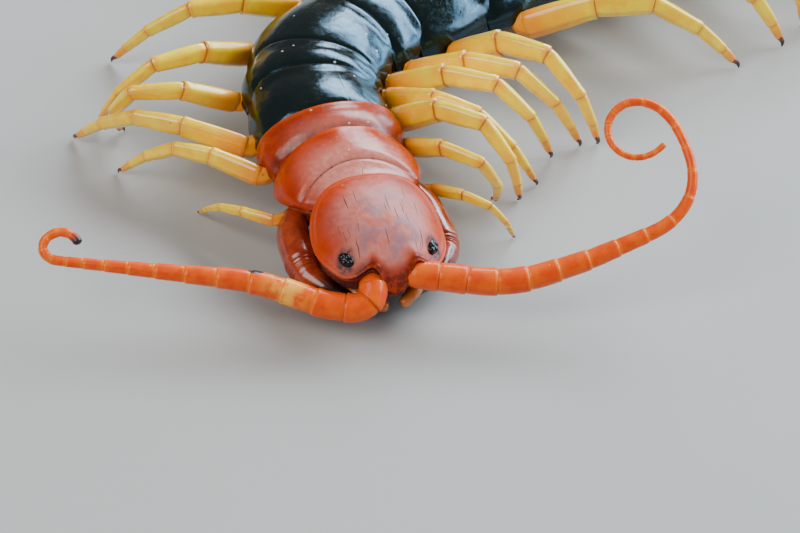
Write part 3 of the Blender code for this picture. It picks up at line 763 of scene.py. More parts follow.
@dataclass(frozen=True)
class HornFinish:
    """Glossy horn that darkens along its course: fangs, claws, spines and mouthparts."""

    name: str
    body: Colour
    deep: Colour
    tip: Colour
    tip_from: float
    tip_to: float
    roughness: float
    pores: float = 0.004
    waves: float = 0.06
    coat_weight: float = 0.5
    specular: float = 0.5

    def paint(self, fx: Effects) -> bpy.types.Material:
        """Build the material; course is the share of the way to the point.

        Args:
            fx: The shared effects.

        Returns:
            The material.
        """
        made, n, shader = new_material(
            self.name, coat_weight=self.coat_weight, coat_roughness=0.10, specular_ior_level=self.specular
        )
        place, course = n.place(), n.measure("course")
        clouds = n.effect(fx.clouds, {"Place": place, "Size": 1.2})
        colour = n.mix(clouds, self.deep, self.body)
        colour = n.mix(n.ramp(course, self.tip_from, self.tip_to), colour, self.tip)
        dust = n.effect(fx.dust, {"Place": place, "Size": 0.6, "Chance": 0.06})
        colour = n.mix(n.times(dust, 0.4), colour, self.body)
        rough = n.ramp(clouds, 0.0, 1.0, self.roughness, self.roughness + 0.08)
        height = n.effect(fx.grain, {"Place": place, "Pores": self.pores, "Waves": self.waves})
        n.dress(shader, colour, rough, height)
        return made


@dataclass(frozen=True)
class FleshFinish:
    """Soft folded skin of the flanks: dark, olive in its folds, and orange at the neck."""

    name: str
    body: Colour
    olive: Colour
    orange: Colour

    def paint(self, fx: Effects) -> bpy.types.Material:
        """Build the material; course is 1 at the neck and 0 behind the second segment.

        Args:
            fx: The shared effects.

        Returns:
            The material.
        """
        made, n, shader = new_material(self.name, coat_weight=0.1, coat_roughness=0.3)
        place, rim, course = n.place(), n.measure("rim_mm"), n.measure("course")
        clouds = n.effect(fx.clouds, {"Place": place, "Size": 1.1})
        colour = n.mix(n.times(clouds, n.ramp(rim, 0.0, 1.2, 1.0, 0.35)), self.body, self.olive)
        colour = n.mix(course, colour, self.orange)
        rough = n.ramp(clouds, 0.0, 1.0, 0.36, 0.5)
        pleats = n.add("TexWave", {"Vector": place, "Scale": 0.9, "Distortion": 6.0, "Detail": 2.0}, "Fac")
        grain = n.effect(fx.grain, {"Place": place, "Pores": 0.012, "Waves": 0.10})
        height = n.math("ADD", grain, n.times(pleats, 0.03))
        n.dress(shader, colour, rough, height)
        return made


@dataclass(frozen=True)
class FloorFinish:
    """A plain pale studio floor."""

    name: str = "studio_floor"
    colour: Colour = (0.40, 0.386, 0.368)

    def paint(self) -> bpy.types.Material:
        """Build the material.

        Returns:
            The material.
        """
        made, n, shader = new_material(self.name, roughness=0.75)
        grain = n.add("TexNoise", {"Vector": n.place(), "Scale": 0.05, "Detail": 2.0})
        low = tuple(0.94 * part for part in self.colour)
        n.feed(shader.inputs["Base Color"], n.mix(grain, low, self.colour))
        return made


@dataclass
class Trunk:
    """The trunk's middle line, back plates and leg roots, with the sizes of the solids."""

    segments: int = 21
    long_plates: tuple[int, ...] = (1, 3, 5, 7, 8, 10, 12, 14, 16, 18, 20, 21)
    full_plate_length: float = 8.4
    full_width: float = 13.6
    crest: float = 3.1
    plate_edge: float = -0.75
    belly: float = 3.0
    neck: tuple[float, float] = (-17.66, -67.81)
    neck_direction: float = 108.0
    bends: Rows = ((8.5, 29.5, -70.0), (48.0, 104.0, 60.0))
    cruise_height: float = 5.3
    shoulder_height: float = 6.0
    fall: tuple[float, float] = (13.0, 36.0)
    level_from: float = 60.0
    head_pitch: float = 5.0
    head_place: float = -5.3
    reaches: Rows = ((1, 170.0), (-1, 14.0))
    step: float = 0.5
    root_drop: float = 1.35
    line: dict[float, Vector] = field(default_factory=dict)
    starts: list[float] = field(default_factory=list)
    halves: list[float] = field(default_factory=list)

    def __post_init__(self) -> None:
        """Lay out the middle line and the plates along it."""
        self.starts = [sum(self.plate_length(k) for k in range(1, n)) for n in range(self.segments + 2)]
        self.halves = [self.half_width(n) for n in range(self.segments + 1)]
        points = {0.0: Vector((*self.neck, 0.0))}
        for sign, reach in self.reaches:
            s, at = 0.0, points[0.0].copy()
            while abs(s) < reach:
                middle = s + sign * self.step / 2
                way = math.radians(turned(middle, self.neck_direction, self.bends))
                at = at + sign * self.step * Vector((math.cos(way), math.sin(way), self.slope(middle)))
                s += sign * self.step
                points[s] = at.copy()
        lift = self.cruise_height - points[self.level_from].z
        for point in points.values():
            point.z += lift
        self.line = points

    def slope(self, s: float) -> float:
        """Fall of the middle line towards the head, as a tangent.

        Args:
            s: Way along the middle line.

        Returns:
            The fall.
        """
        nose = math.tan(math.radians(self.head_pitch)) * (1.0 - smooth(s, 1.0, 13.0))
        drop = self.shoulder_height - self.cruise_height
        return nose - drop * (smooth(s + 0.5, *self.fall) - smooth(s - 0.5, *self.fall))

    def station(self, s: float) -> Matrix:
        """Frame on the middle line at s: its columns are u, v, w and the place.

        Args:
            s: Way along the middle line.

        Returns:
            The frame.
        """
        low = math.floor(s / self.step) * self.step
        place = self.line[low].lerp(self.line[low + self.step], (s - low) / self.step)
        way = math.radians(turned(s, self.neck_direction, self.bends))
        u = -Vector((math.cos(way), math.sin(way), self.slope(s))).normalized()
        v = UP.cross(u).normalized()
        made = Matrix((u, v, u.cross(v))).transposed().to_4x4()
        made.translation = place
        return made

    def plate_length(self, n: int) -> float:
        """Length of back plate n that shows.

        Args:
            n: Number of the segment.

        Returns:
            The length.
        """
        grown = 0.62 + 0.38 * smooth(n, 1, 10) - 0.12 * smooth(n, 18, 21)
        share = 1.0 if n in self.long_plates else 0.56 + 0.26 * smooth(n, 2, 14)
        return self.full_plate_length * grown * share

    def half_width(self, n: int) -> float:
        """Half the width of back plate n at its widest."""
        swell = 0.86 + 0.14 * smooth(n, 2, 10) - 0.24 * smooth(n, 14, 21)
        return 0.5 * self.full_width * (0.915 if n == 1 else swell)

    def half_at(self, s: float) -> float:
        """Half the width of the trunk at s, even from plate to plate.

        Args:
            s: Way along the middle line.

        Returns:
            Half the width.
        """
        middle = 0.5 * (self.starts[1] + self.starts[2])
        for n in range(1, self.segments):
            after = 0.5 * (self.starts[n + 1] + self.starts[n + 2])
            if s <= after:
                share = max(0.0, (s - middle) / (after - middle))
                return self.halves[n] + (self.halves[n + 1] - self.halves[n]) * share
            middle = after
        return self.halves[self.segments]

    def leg_station(self, n: int) -> float:
        """s of leg n."""
        return self.starts[n] + (0.14 if n == 1 else 0.36) * self.plate_length(n)

    def leg_size(self, n: int) -> float:
        """Size of leg n against a full leg of the middle of the body."""
        return {1: 0.52, 2: 0.78, 3: 0.96, 4: 0.92}.get(n, 1.0) + 0.16 * smooth(n, 5, 10)

    def leg_root(self, n: int, side: Side) -> tuple[Vector, Vector]:
        """Place where leg n leaves the trunk, and the way out from the body.

        Args:
            n: Number of the segment.
            side: Side of the animal.

        Returns:
            The place and the way out.
        """
        here = self.station(self.leg_station(n))
        place = here @ Vector((0, side.value * (self.half_width(n) + 0.35), -self.root_drop))
        way = (here.to_3x3() @ Vector((0.10, side.value, -0.05))).normalized()
        return place, way

    def head_frame(self) -> Matrix:
        """Frame at the middle of the head plate."""
        return self.station(self.head_place)


@dataclass
class BackPlates:
    """The 21 back plates: overlapping arches, two of them orange and the rest black-green."""

    trunk: Trunk
    tuck: float = 0.9
    overlap: float = 0.45
    wrap: float = 97.0
    sunk: float = 0.42
    thickness: float = 0.15
    first_reach: float = 2.1
    first_grid: tuple[int, int] = (150, 84)
    first_outline: tuple[float, ...] = (5.0, 5.85, 6.2, 6.25, 6.2, 6.0, 5.65, 5.2)
    sulcus_at: float = 1.75
    sulcus_bend: float = 0.085
    last_outline: tuple[float, ...] = (0.96, 1.0, 1.0, 0.98, 0.93, 0.85, 0.72, 0.52)

    def arch(self, s: float, x: float, half: float, crest: float, lift: float = 0.0) -> Vector:
        """Point of an arch over the trunk at s, at x from -1 on the right to 1 on the left.

        Args:
            s: Way along the middle line.
            x: Place across, from -1 to 1.
            half: Half the width.
            crest: Height of the crest.
            lift: Height above the arch.

        Returns:
            The point.
        """
        turn = math.radians(self.wrap) * x
        edge = self.trunk.plate_edge
        local = Vector((0, (half + lift) * math.sin(turn), edge + (crest - edge + lift) * math.cos(turn)))
        return self.trunk.station(s) @ local

    def first_spot(self, a: float, b: float) -> Spot:
        """Point of the first plate; course darkens its curved groove.

        Args:
            a: Share across or round.
            b: Share along.

        Returns:
            The place and the two measures.
        """
        t = self.trunk
        x, length = 2 * a - 1, t.plate_length(1)
        front = -self.first_reach + 4.0 * abs(x) ** 3.2
        rear = length + self.overlap - 0.55 * abs(x) ** 4
        s = front + (rear - front) * b
        half = curve_through([(h,) for h in self.first_outline], b)[0]
        v = half * math.sin(math.radians(self.wrap) * x)
        groove = s - (self.sulcus_at - self.sulcus_bend * v * v)
        behind = smooth(groove, -0.1, 0.9)
        crest = 2.68 + 0.20 * smooth(s, -0.6, 1.6) + 0.24 * behind - 0.10 * smooth(s, 3.4, length + 0.4)
        fade = 1.0 - smooth(abs(x), 0.66, 0.80)
        crest -= 0.10 * bump(groove, 0.0, 0.20) * fade
        hollow = 0.12 * bump(groove, -0.9, 0.7) * fade
        place = self.arch(s, x, half, crest - hollow)
        place += UP * (0.05 * ripple(place, 2.6))
        rim = min((1 - abs(x)) * 1.7 * half, rear - s, s - front + 2.0)
        tick = smooth(math.cos(11.0 * v + 1.4 * math.sin(2.3 * v)), 0.86, 1.0) * bump(groove, 0.05, 0.30)
        mark = (0.75 * bump(groove, 0.02, 0.08) + 0.30 * tick) * fade
        return place, rim, mark

    def spot(self, n: int, a: float, b: float) -> Spot:
        """Point of plate n behind the first; course paints shade into its front fold, under the rear edge of
        the plate ahead, and darkens the rest of the second plate a little.

        Args:
            n: Number of the segment.
            a: Share across or round.
            b: Share along.

        Returns:
            The place and the two measures.
        """
        t = self.trunk
        x, start, length = 2 * a - 1, t.starts[n], t.plate_length(n)
        front = start - self.tuck + 0.5 * abs(x) ** 4
        corner = 0.15 if n == 2 else 0.75
        rear = start + length + self.overlap - corner * abs(x) ** 6 - 0.12 * bump(x, 0, 0.5)
        if n == t.segments:
            rear = start + 0.97 * length - 1.5 * abs(x) ** 3
        s = front + (rear - front) * b
        half = t.half_width(n) * (0.955 + 0.05 * math.sin(math.pi * min(1.0, 1.15 * b)))
        if n == t.segments:
            half = t.half_width(n) * curve_through([(h,) for h in self.last_outline], b)[0]
        if n == 2:
            half += 0.65 * smooth(b, 0.15, 0.9)
        folded = 1.0 - smooth(s, start - 0.25, start + 0.9)
        swell = math.sin(math.pi * min(1.0, max(0.0, (s - start) / length)))
        lip = 0.13 * smooth(s, rear - 1.1, rear - 0.35)
        crest = t.crest - self.sunk * folded + 0.16 * swell + lip
        if n == t.segments:
            crest = t.crest - 0.3 * folded - 0.75 * smooth(b, 0.45, 1.0)
        dent = 0.10 * bump(abs(x), 0.52, 0.10) * smooth(b, 0.15, 0.4) * (1 - smooth(b, 0.75, 0.95))
        margin = 0.08 * bump(abs(x), 0.975, 0.03) - 0.06 * bump(abs(x), 0.90, 0.03)
        place = self.arch(s, x, half, crest, margin - dent + 0.12 * swell)
        place += UP * (0.045 * ripple(place, 3.4) + 0.012 * ripple(place, 1.2, 7.0))
        rim = min((1 - abs(x)) * 1.7 * half, rear - s)
        # Course: painted shade in the front fold under the plate ahead, and a little darkening all over the
        # second plate.
        return place, rim, 0.8 * folded + (0.30 * (1.0 - folded) if n == 2 else 0.0)

    def build(self, orange: Coat, dark: Coat) -> None:
        """Build every back plate.

        Args:
            orange: Coat of the first two.
            dark: Coat of the others.
        """
        for n in range(1, self.trunk.segments + 1):
            shape = Shape()
            if n == 1:
                shape.sheet(*self.first_grid, self.first_spot)
            else:
                along = max(24, round(5 * self.trunk.plate_length(n)))
                shape.sheet(96, along, lambda a, b, n=n: self.spot(n, a, b))
            shape.thicken(self.thickness)
            shape.finish(f"back_plate_{n:02d}", orange if n < 3 else dark)


@dataclass
class Flanks:
    """The soft skin of the trunk under its plates, with a swelling at each leg and folds between."""

    trunk: Trunk
    around: int = 96
    spacing: float = 0.28
    front: float = -3.0
    outline: Rows = (
        (0.0, 2.35), (0.34, 2.15), (0.62, 1.55), (0.84, 0.45), (0.90, -0.45), (0.86, -1.05),
        (0.84, -1.6), (0.80, -2.15), (0.66, -2.66), (0.44, -2.9), (0.20, -2.98), (0.0, -3.0),
    )

    def spot(self, a: float, b: float) -> Spot:
        """Point of the skin: a goes round from the back, b from the neck to the tail.

        Args:
            a: Share across or round.
            b: Share along.

        Returns:
            The place and the two measures.
        """
        t = self.trunk
        end = t.starts[t.segments] + 0.94 * t.plate_length(t.segments)
        s = self.front + (end - self.front) * b
        a %= 1.0
        hand = 1 if a <= 0.5 else -1
        v, w = curve_through(self.outline, 1.0 - abs(1.0 - 2.0 * a))
        flank = 0.62 + 0.38 * (smooth(s, -0.2, 2.4) if w > 0 else smooth(s, -1.5, 1.2))
        half = t.half_at(s) * flank
        closing = math.sqrt(max(0.0, 1.0 - smooth(s, end - 3.2, end) ** 2)) * smooth(b, 0.0, 0.004) ** 0.5
        n = 1 + sum(s >= start for start in t.starts[2:t.segments + 1])
        fold = min(abs(s - t.starts[n]), abs(s - t.starts[n + 1]))
        size = t.leg_size(n)
        swell = 0.30 if n < t.segments else 0.0
        mound = bump(s, t.leg_station(n), 1.25 * size) * bump(w, -1.5, 0.85) * swell
        low = smooth(-w, 0.3, 1.0)
        crease = 0.32 * bump(fold, 0.0, 0.35) * low
        place = Vector((0, hand * v * half, w))
        way = Vector((0, hand * (0.35 + v), 0.25 * (w + 1.0))).normalized()
        here = t.station(s) @ place
        wrinkle = ripple(here, 1.0) * 0.12 + ripple(here, 0.45, 3.0) * 0.05
        place += way * ((mound - crease + wrinkle * low * bump(w, -1.3, 1.2)) * closing**2)
        place.y *= closing
        place.z = (place.z + 0.6) * closing - 0.6
        neck = 1.0 - smooth(s, 6.5, 9.5)
        return t.station(s) @ place, fold, neck

    def build(self, coat: Coat, nodes: Sequence[str]) -> None:
        """Build the skin as one piece in place of the trunk's lengths."""
        length = self.trunk.starts[self.trunk.segments] + self.trunk.plate_length(self.trunk.segments)
        closed_piece("trunk_skin", (self.around, round(length / self.spacing)), self.spot, coat, nodes)


@dataclass
class BellyPlates:
    """The belly plates, each over the front of the next, and the breathing holes of the flanks."""

    trunk: Trunk
    width: float = 0.66
    thickness: float = 0.12
    airholes: tuple[int, ...] = (3, 5, 8, 10, 12, 14, 16, 18, 20)

    def spot(self, n: int, a: float, b: float) -> Spot:
        """Point of belly plate n, from its front to its rear edge.

        Args:
            n: Number of the segment.
            a: Share across or round.
            b: Share along.

        Returns:
            The place and the two measures.
        """
        t = self.trunk
        x, start, length = 2 * a - 1, t.starts[n], t.plate_length(n)
        s = start + 0.1 + (length + 0.15) * b - 0.35 * abs(x) ** 4 * (2 * b - 1)
        share = self.width * (1.02 - 0.10 * b)
        if n == t.segments:
            share *= 1.0 - 0.45 * b
        bulge = 0.14 * math.sin(math.pi * b) + 0.10 * smooth(b, 0.7, 1.0) - 0.12 * (1 - smooth(b, 0.0, 0.2))
        w = -t.belly - 0.02 - bulge * (1 - 0.5 * x * x) + 0.42 * abs(x) ** 3.5
        if n == t.segments:
            w += 0.8 * smooth(b, 0.3, 1.0)
        place = t.station(s) @ Vector((0, x * share * t.half_width(n), w))
        place += UP * 0.03 * ripple(place, 2.0)
        rim = min((1 - abs(x)) * share * t.half_width(n), b * length, (1 - b) * length)
        return place, rim, 0.0

    def build(self, coat: Coat, holes: Coat) -> None:
        """Build the belly plates and the breathing holes.

        Args:
            coat: Its coat.
            holes: Coat of the breathing holes.
        """
        t = self.trunk
        for n in range(2, t.segments + 1):
            shape = Shape()
            shape.sheet(48, 24, lambda a, b, n=n: self.spot(n, a, b))
            shape.thicken(self.thickness)
            shape.finish(f"belly_plate_{n:02d}", coat)
        shape = Shape()
        for n in self.airholes:
            for side in Side:
                self.airhole(shape, n, side)
        shape.settle()
        shape.finish("breathing_holes", holes)

    def airhole(self, shape: Shape, n: int, side: Side) -> None:
        """Add the raised oval rim of one breathing hole.

        Args:
            shape: Shape that it is added to.
            n: Number of the segment.
            side: Side of the animal.
        """
        t = self.trunk
        here = t.station(t.starts[n] + 0.74 * t.plate_length(n))
        middle = Vector((0, side.value * 0.885 * t.half_width(n), -1.12))

        def at(a: float, b: float) -> Spot:
            """Point of the rim, a share of the way round it and round its roll.

            Args:
                a: Share across or round.
                b: Share along.

            Returns:
                The place and the two measures.
            """
            turn, roll = 2 * math.pi * (a % 1.0), 2 * math.pi * (b % 1.0)
            radius = 1.0 + 0.22 * math.cos(roll)
            u, w = 0.52 * radius * math.cos(turn), 0.30 * radius * math.sin(turn)
            return here @ (middle + Vector((u, side.value * 0.14 * math.sin(roll), w))), FAR, 0.5

        shape.sheet(24, 8, at)


PRISM = rounded_section(((0, 1.0), (64, 0.78), (-64, 0.78), (118, 0.92), (-118, 0.92), (180, 0.96)), 28, 13.0)
FLAT_TOP = rounded_section(
    ((0, 0.90), (70, 0.96), (-70, 0.96), (130, 0.95), (-130, 0.95), (180, 0.95)), 28, 7.0
)
DISC = round_section(14)


@dataclass
class Limb:
    """A jointed tube whose straight pieces meet in rounded elbows."""

    joints: Sequence[Vector]
    rise: Vector
    elbow: float = 0.5

    def sample(self, piece: int, way: float) -> tuple[Vector, Vector]:
        """Place and direction at a distance along one piece, rounded near its ends.

        Args:
            piece: Number of the straight piece.
            way: Distance along it.

        Returns:
            Place and direction.
        """
        near, far = self.joints[piece], self.joints[piece + 1]
        along = (far - near).normalized()
        length = (far - near).length
        reach = min(self.elbow, 0.45 * length)
        if way < reach and piece > 0:
            before = (near - self.joints[piece - 1]).normalized()
            return self.rounded(near, before, along, reach, 0.5 + 0.5 * way / reach)
        if length - way < reach and piece + 2 < len(self.joints):
            after = (self.joints[piece + 2] - far).normalized()
            return self.rounded(far, along, after, reach, 0.5 - 0.5 * (length - way) / reach)
        return near + along * way, along

    def rounded(
        self, joint: Vector, before: Vector, after: Vector, reach: float, t: float
    ) -> tuple[Vector, Vector]:
        """Place and direction on the curve that rounds a joint.

        Args:
            joint: The joint.
            before: Direction before it.
            after: Direction after it.
            reach: Length of the curve's arms.
            t: Share along.

        Returns:
            Place and direction.
        """
        start, end = joint - before * reach, joint + after * reach
        place = start.lerp(joint, t).lerp(joint.lerp(end, t), t)
        return place, before.lerp(after, t).normalized()

    def ring(self, piece: int, way: float, half: float, flatness: float, rim: float, course: float) -> Ring:
        """Loop of the limb's skin at a distance along one piece.

        Args:
            piece: Number of the straight piece.
            way: Distance along it.
            half: Half its height.
            flatness: Width against height.
            rim: Its rim measure.
            course: Its course measure.

        Returns:
            The loop.
        """
        place, along = self.sample(piece, way)
        side = along.cross(self.rise).normalized()
        return Ring(place, side, side.cross(along), half * flatness, half, rim, course)


@dataclass
class Legs:
    """The forty walking legs, each of six pieces, the last a dark claw."""

    trunk: Trunk
    lengths: tuple[float, ...] = (6.0, 4.6, 4.4, 2.9, 1.4, 0.9)
    radii: tuple[float, ...] = (1.24, 1.02, 0.76, 0.54, 0.40, 0.25)
    bend_shares: tuple[float, ...] = (0.0, 0.40, 1.15, 1.45, 1.55, 1.75)
    flatness: float = 0.94
    root_radius: float = 1.12
    gap: float = 0.3
    foot_tries: int = 40
    foot_stride: float = 0.2
    step_reach: float = 13.6
    step_swing: float = 15.0
    step_wave: float = 6.0
    claw_tip: float = 0.07
    claw_rows: Rows = (
        (-0.3, 0.9), (0.0, 1.0), (0.25, 0.86), (0.5, 0.66), (0.72, 0.48), (0.9, 0.34), (0.97, 0.26),
    )
    feet: dict[Side, dict[int, tuple[float, float, float]]] = field(default_factory=lambda: {
        Side.LEFT: {
            1: (13.0, 1.4, -24.0), 2: (11.3, 6.4, -26.0), 3: (13.5, 6.4, -10.0), 4: (15.2, 8.4, -14.0),
            5: (16.5, 12.2, -12.0), 6: (19.1, 13.8, -10.0), 7: (20.6, 14.1, -8.0), 8: (33.8, 25.2, 0.0),
            9: (37.9, 28.4, 0.0), 10: (39.8, 31.3, 0.0),
        },
        Side.RIGHT: {
            1: (-13.5, 4.6, -30.0), 2: (-20.7, 10.1, 0.0), 3: (-24.8, 14.9, -20.0), 4: (-20.5, 16.0, -30.0),
            5: (-22.7, 17.1, -26.0), 6: (-22.3, 26.1, -20.0),
        },
    })

    def foot_spot(self, n: int, side: Side) -> tuple[Vector, float]:
        """Floor spot of foot n, and the lean of its leg.

        Args:
            n: Number of the segment.
            side: Side of the animal.

        Returns:
            The spot, and the lean in radians.
        """
        t = self.trunk
        if n in self.feet[side]:
            x, y, lean = self.feet[side][n]
            return Vector((t.neck[0] + x, t.neck[1] + y, 0.0)), math.radians(lean)
        place, _ = t.leg_root(n, side)
        beat = n / self.step_wave + (0.0 if side is Side.LEFT else 0.5)
        swing = math.radians(self.step_swing * math.sin(2 * math.pi * beat) - 16.0 * smooth(n, 12, 20))
        here = t.station(t.starts[n] + 0.36 * t.plate_length(n)).to_3x3()
        way = here @ Vector((math.sin(swing), side.value * math.cos(swing), 0))
        reach = self.step_reach * t.leg_size(n) * (1.0 + 0.05 * math.cos(2 * math.pi * beat))
        spot = place + reach * Vector((way.x, way.y, 0)).normalized()
        return Vector((spot.x, spot.y, 0.0)), 0.0

    def line(self, n: int, side: Side) -> tuple[list[Vector], Vector]:
        """Joints of a leg from its root to its foot, and the direction in which it arches.

        Args:
            n: Number of the segment.
            side: Side of the animal.

        Returns:
            The joints, and the direction of the arch.
        """
        place, way = self.trunk.leg_root(n, side)
        place = place + self.gap * way
        spot, lean = self.foot_spot(n, side)
        lengths = [self.trunk.leg_size(n) * length for length in self.lengths]
        chord = spot - place
        span, out = chord.length, chord.normalized()
        back = UP.cross(out).normalized() * side.value
        rise = Vector((0, 0, math.cos(lean))) + math.sin(lean) * back
        rise = (rise - out * rise.dot(out)).normalized()

        def miss(lift: float, bend: float) -> tuple[float, float]:
            """How far the foot is from its spot, outwards and over the chord.

            Args:
                lift: Angle of the first piece.
                bend: How much the leg bends.

            Returns:
                Both distances.
            """
            angles = [lift - bend * share for share in self.bend_shares]
            along = sum(length * math.cos(angle) for length, angle in zip(lengths, angles))
            over = sum(length * math.sin(angle) for length, angle in zip(lengths, angles))
            return along - span, over

        lift, bend, tiny, stride = 0.6, 1.2, 1e-5, self.foot_stride
        for _ in range(self.foot_tries):
            x, y = miss(lift, bend)
            a, c = ((p - q) / tiny for p, q in zip(miss(lift + tiny, bend), (x, y)))
            b, d = ((p - q) / tiny for p, q in zip(miss(lift, bend + tiny), (x, y)))
            det = a * d - b * c
            lift -= max(-stride, min(stride, (x * d - y * b) / det))
            bend -= max(-stride, min(stride, (y * a - x * c) / det))
        joints, at = [place], place.copy()
        for length, share in zip(lengths, self.bend_shares):
            angle = lift - bend * share
            at = at + length * (math.cos(angle) * out + math.sin(angle) * rise)
            joints.append(at.copy())
        return joints, rise

    def skin_rings(self, limb: Limb, n: int, side: Side) -> list[Ring]:
        """Loops of a leg's skin from inside the trunk to its last joint before the claw.

        Args:
            limb: The leg's jointed tube.
            n: Number of the segment.
            side: Side of the animal.

        Returns:
            The loops.
        """
        size = self.trunk.leg_size(n)
        _, way = self.trunk.leg_root(n, side)
        root, root_radius = limb.joints[0], self.root_radius * size
        across = way.cross(limb.rise).normalized()
        up = across.cross(way)
        rings = [Ring(root - way * 2.6 * size, across, up)]
        for back, share in ((2.5, 0.7), (1.7, 0.86), (1.0, 0.92), (0.5, 0.94), (0.16, 0.93), (0.04, 0.90)):
            half = root_radius * share
            rings.append(Ring(root - way * back * size, across, up, half, half * 0.95, FAR, 0.0))
        for k, radius in enumerate(self.radii[:-1]):
            length = (limb.joints[k + 1] - limb.joints[k]).length
            here, after = radius * size, self.radii[k + 1] * size
            neck = 0.97 * here if k else 0.98 * root_radius
            rows = (
                (0.02, neck * 0.93), (0.07, neck * 0.985), (0.20, 0.5 * (neck + here)), (0.50, 0.99 * here),
                (0.32 * length, here), (0.50 * length, here - 0.12 * (here - after)),
                (0.70 * length, here - 0.35 * (here - after)), (length - 0.6, 0.45 * here + 0.55 * after),
                (length - 0.28, 0.47 * here + 0.56 * after), (length - 0.07, 0.47 * here + 0.56 * after),
                (length - 0.02, 0.42 * here + 0.54 * after),
            )
            if k == 4:
                rows = ((0.03, neck * 0.9), (0.12, neck), (0.4 * length, here), (0.8 * length, 0.8 * here),
                        (0.95 * length, 0.72 * here), (length - 0.02, 0.5 * here))
            for distance, half in rows:
                rim = min(distance, length - distance)
                rings.append(limb.ring(k, distance, half, self.flatness, rim, k + distance / length))
        last = rings[-1]
        rings.append(Ring(limb.joints[5], last.side, last.up, 0.0, 0.0, 0.0, 5.0))
        return rings

    def claw_rings(self, limb: Limb, n: int) -> list[Ring]:
        """Loops of the curved claw, which ends on the floor.

        Args:
            limb: The leg's jointed tube.
            n: Number of the segment.

        Returns:
            The loops.
        """
        size, tip_radius = self.trunk.leg_size(n), self.claw_tip
        base, foot = limb.joints[5], limb.joints[6] + UP * tip_radius
        along = (foot - base).normalized()
        side = along.cross(limb.rise).normalized()
        up = side.cross(along)
        rings = [Ring(base - along * 0.35, side, up)]
        for share, half in self.claw_rows:
            place = base.lerp(foot, share) + up * (0.16 * math.sin(math.pi * max(0.0, share)))
            radius = max(tip_radius * 0.8, 0.27 * size * half)
            radius = min(radius, max(0.05, place.z))
            rings.append(Ring(place, side, up, radius * 0.8, radius, FAR, share))
        rings.append(Ring(foot, side, up, course=1.0))
        return rings

    def build(self, skin: Coat, horn: Coat) -> None:
        """Build every walking leg and its claw.

        Args:
            skin: Coat of the leg.
            horn: Coat of the claws.
        """
        for side in Side:
            for n in range(1, self.trunk.segments):
                joints, rise = self.line(n, side)
                limb = Limb(joints, rise, 0.5 * self.trunk.leg_size(n))
                which = f"{side.word}_{n:02d}"
                tube_piece(f"leg_skin_{which}", self.skin_rings(limb, n, side), PRISM, skin, [f"leg_{which}"])
                tube_piece(f"claw_{which}", self.claw_rings(limb, n), DISC, horn)


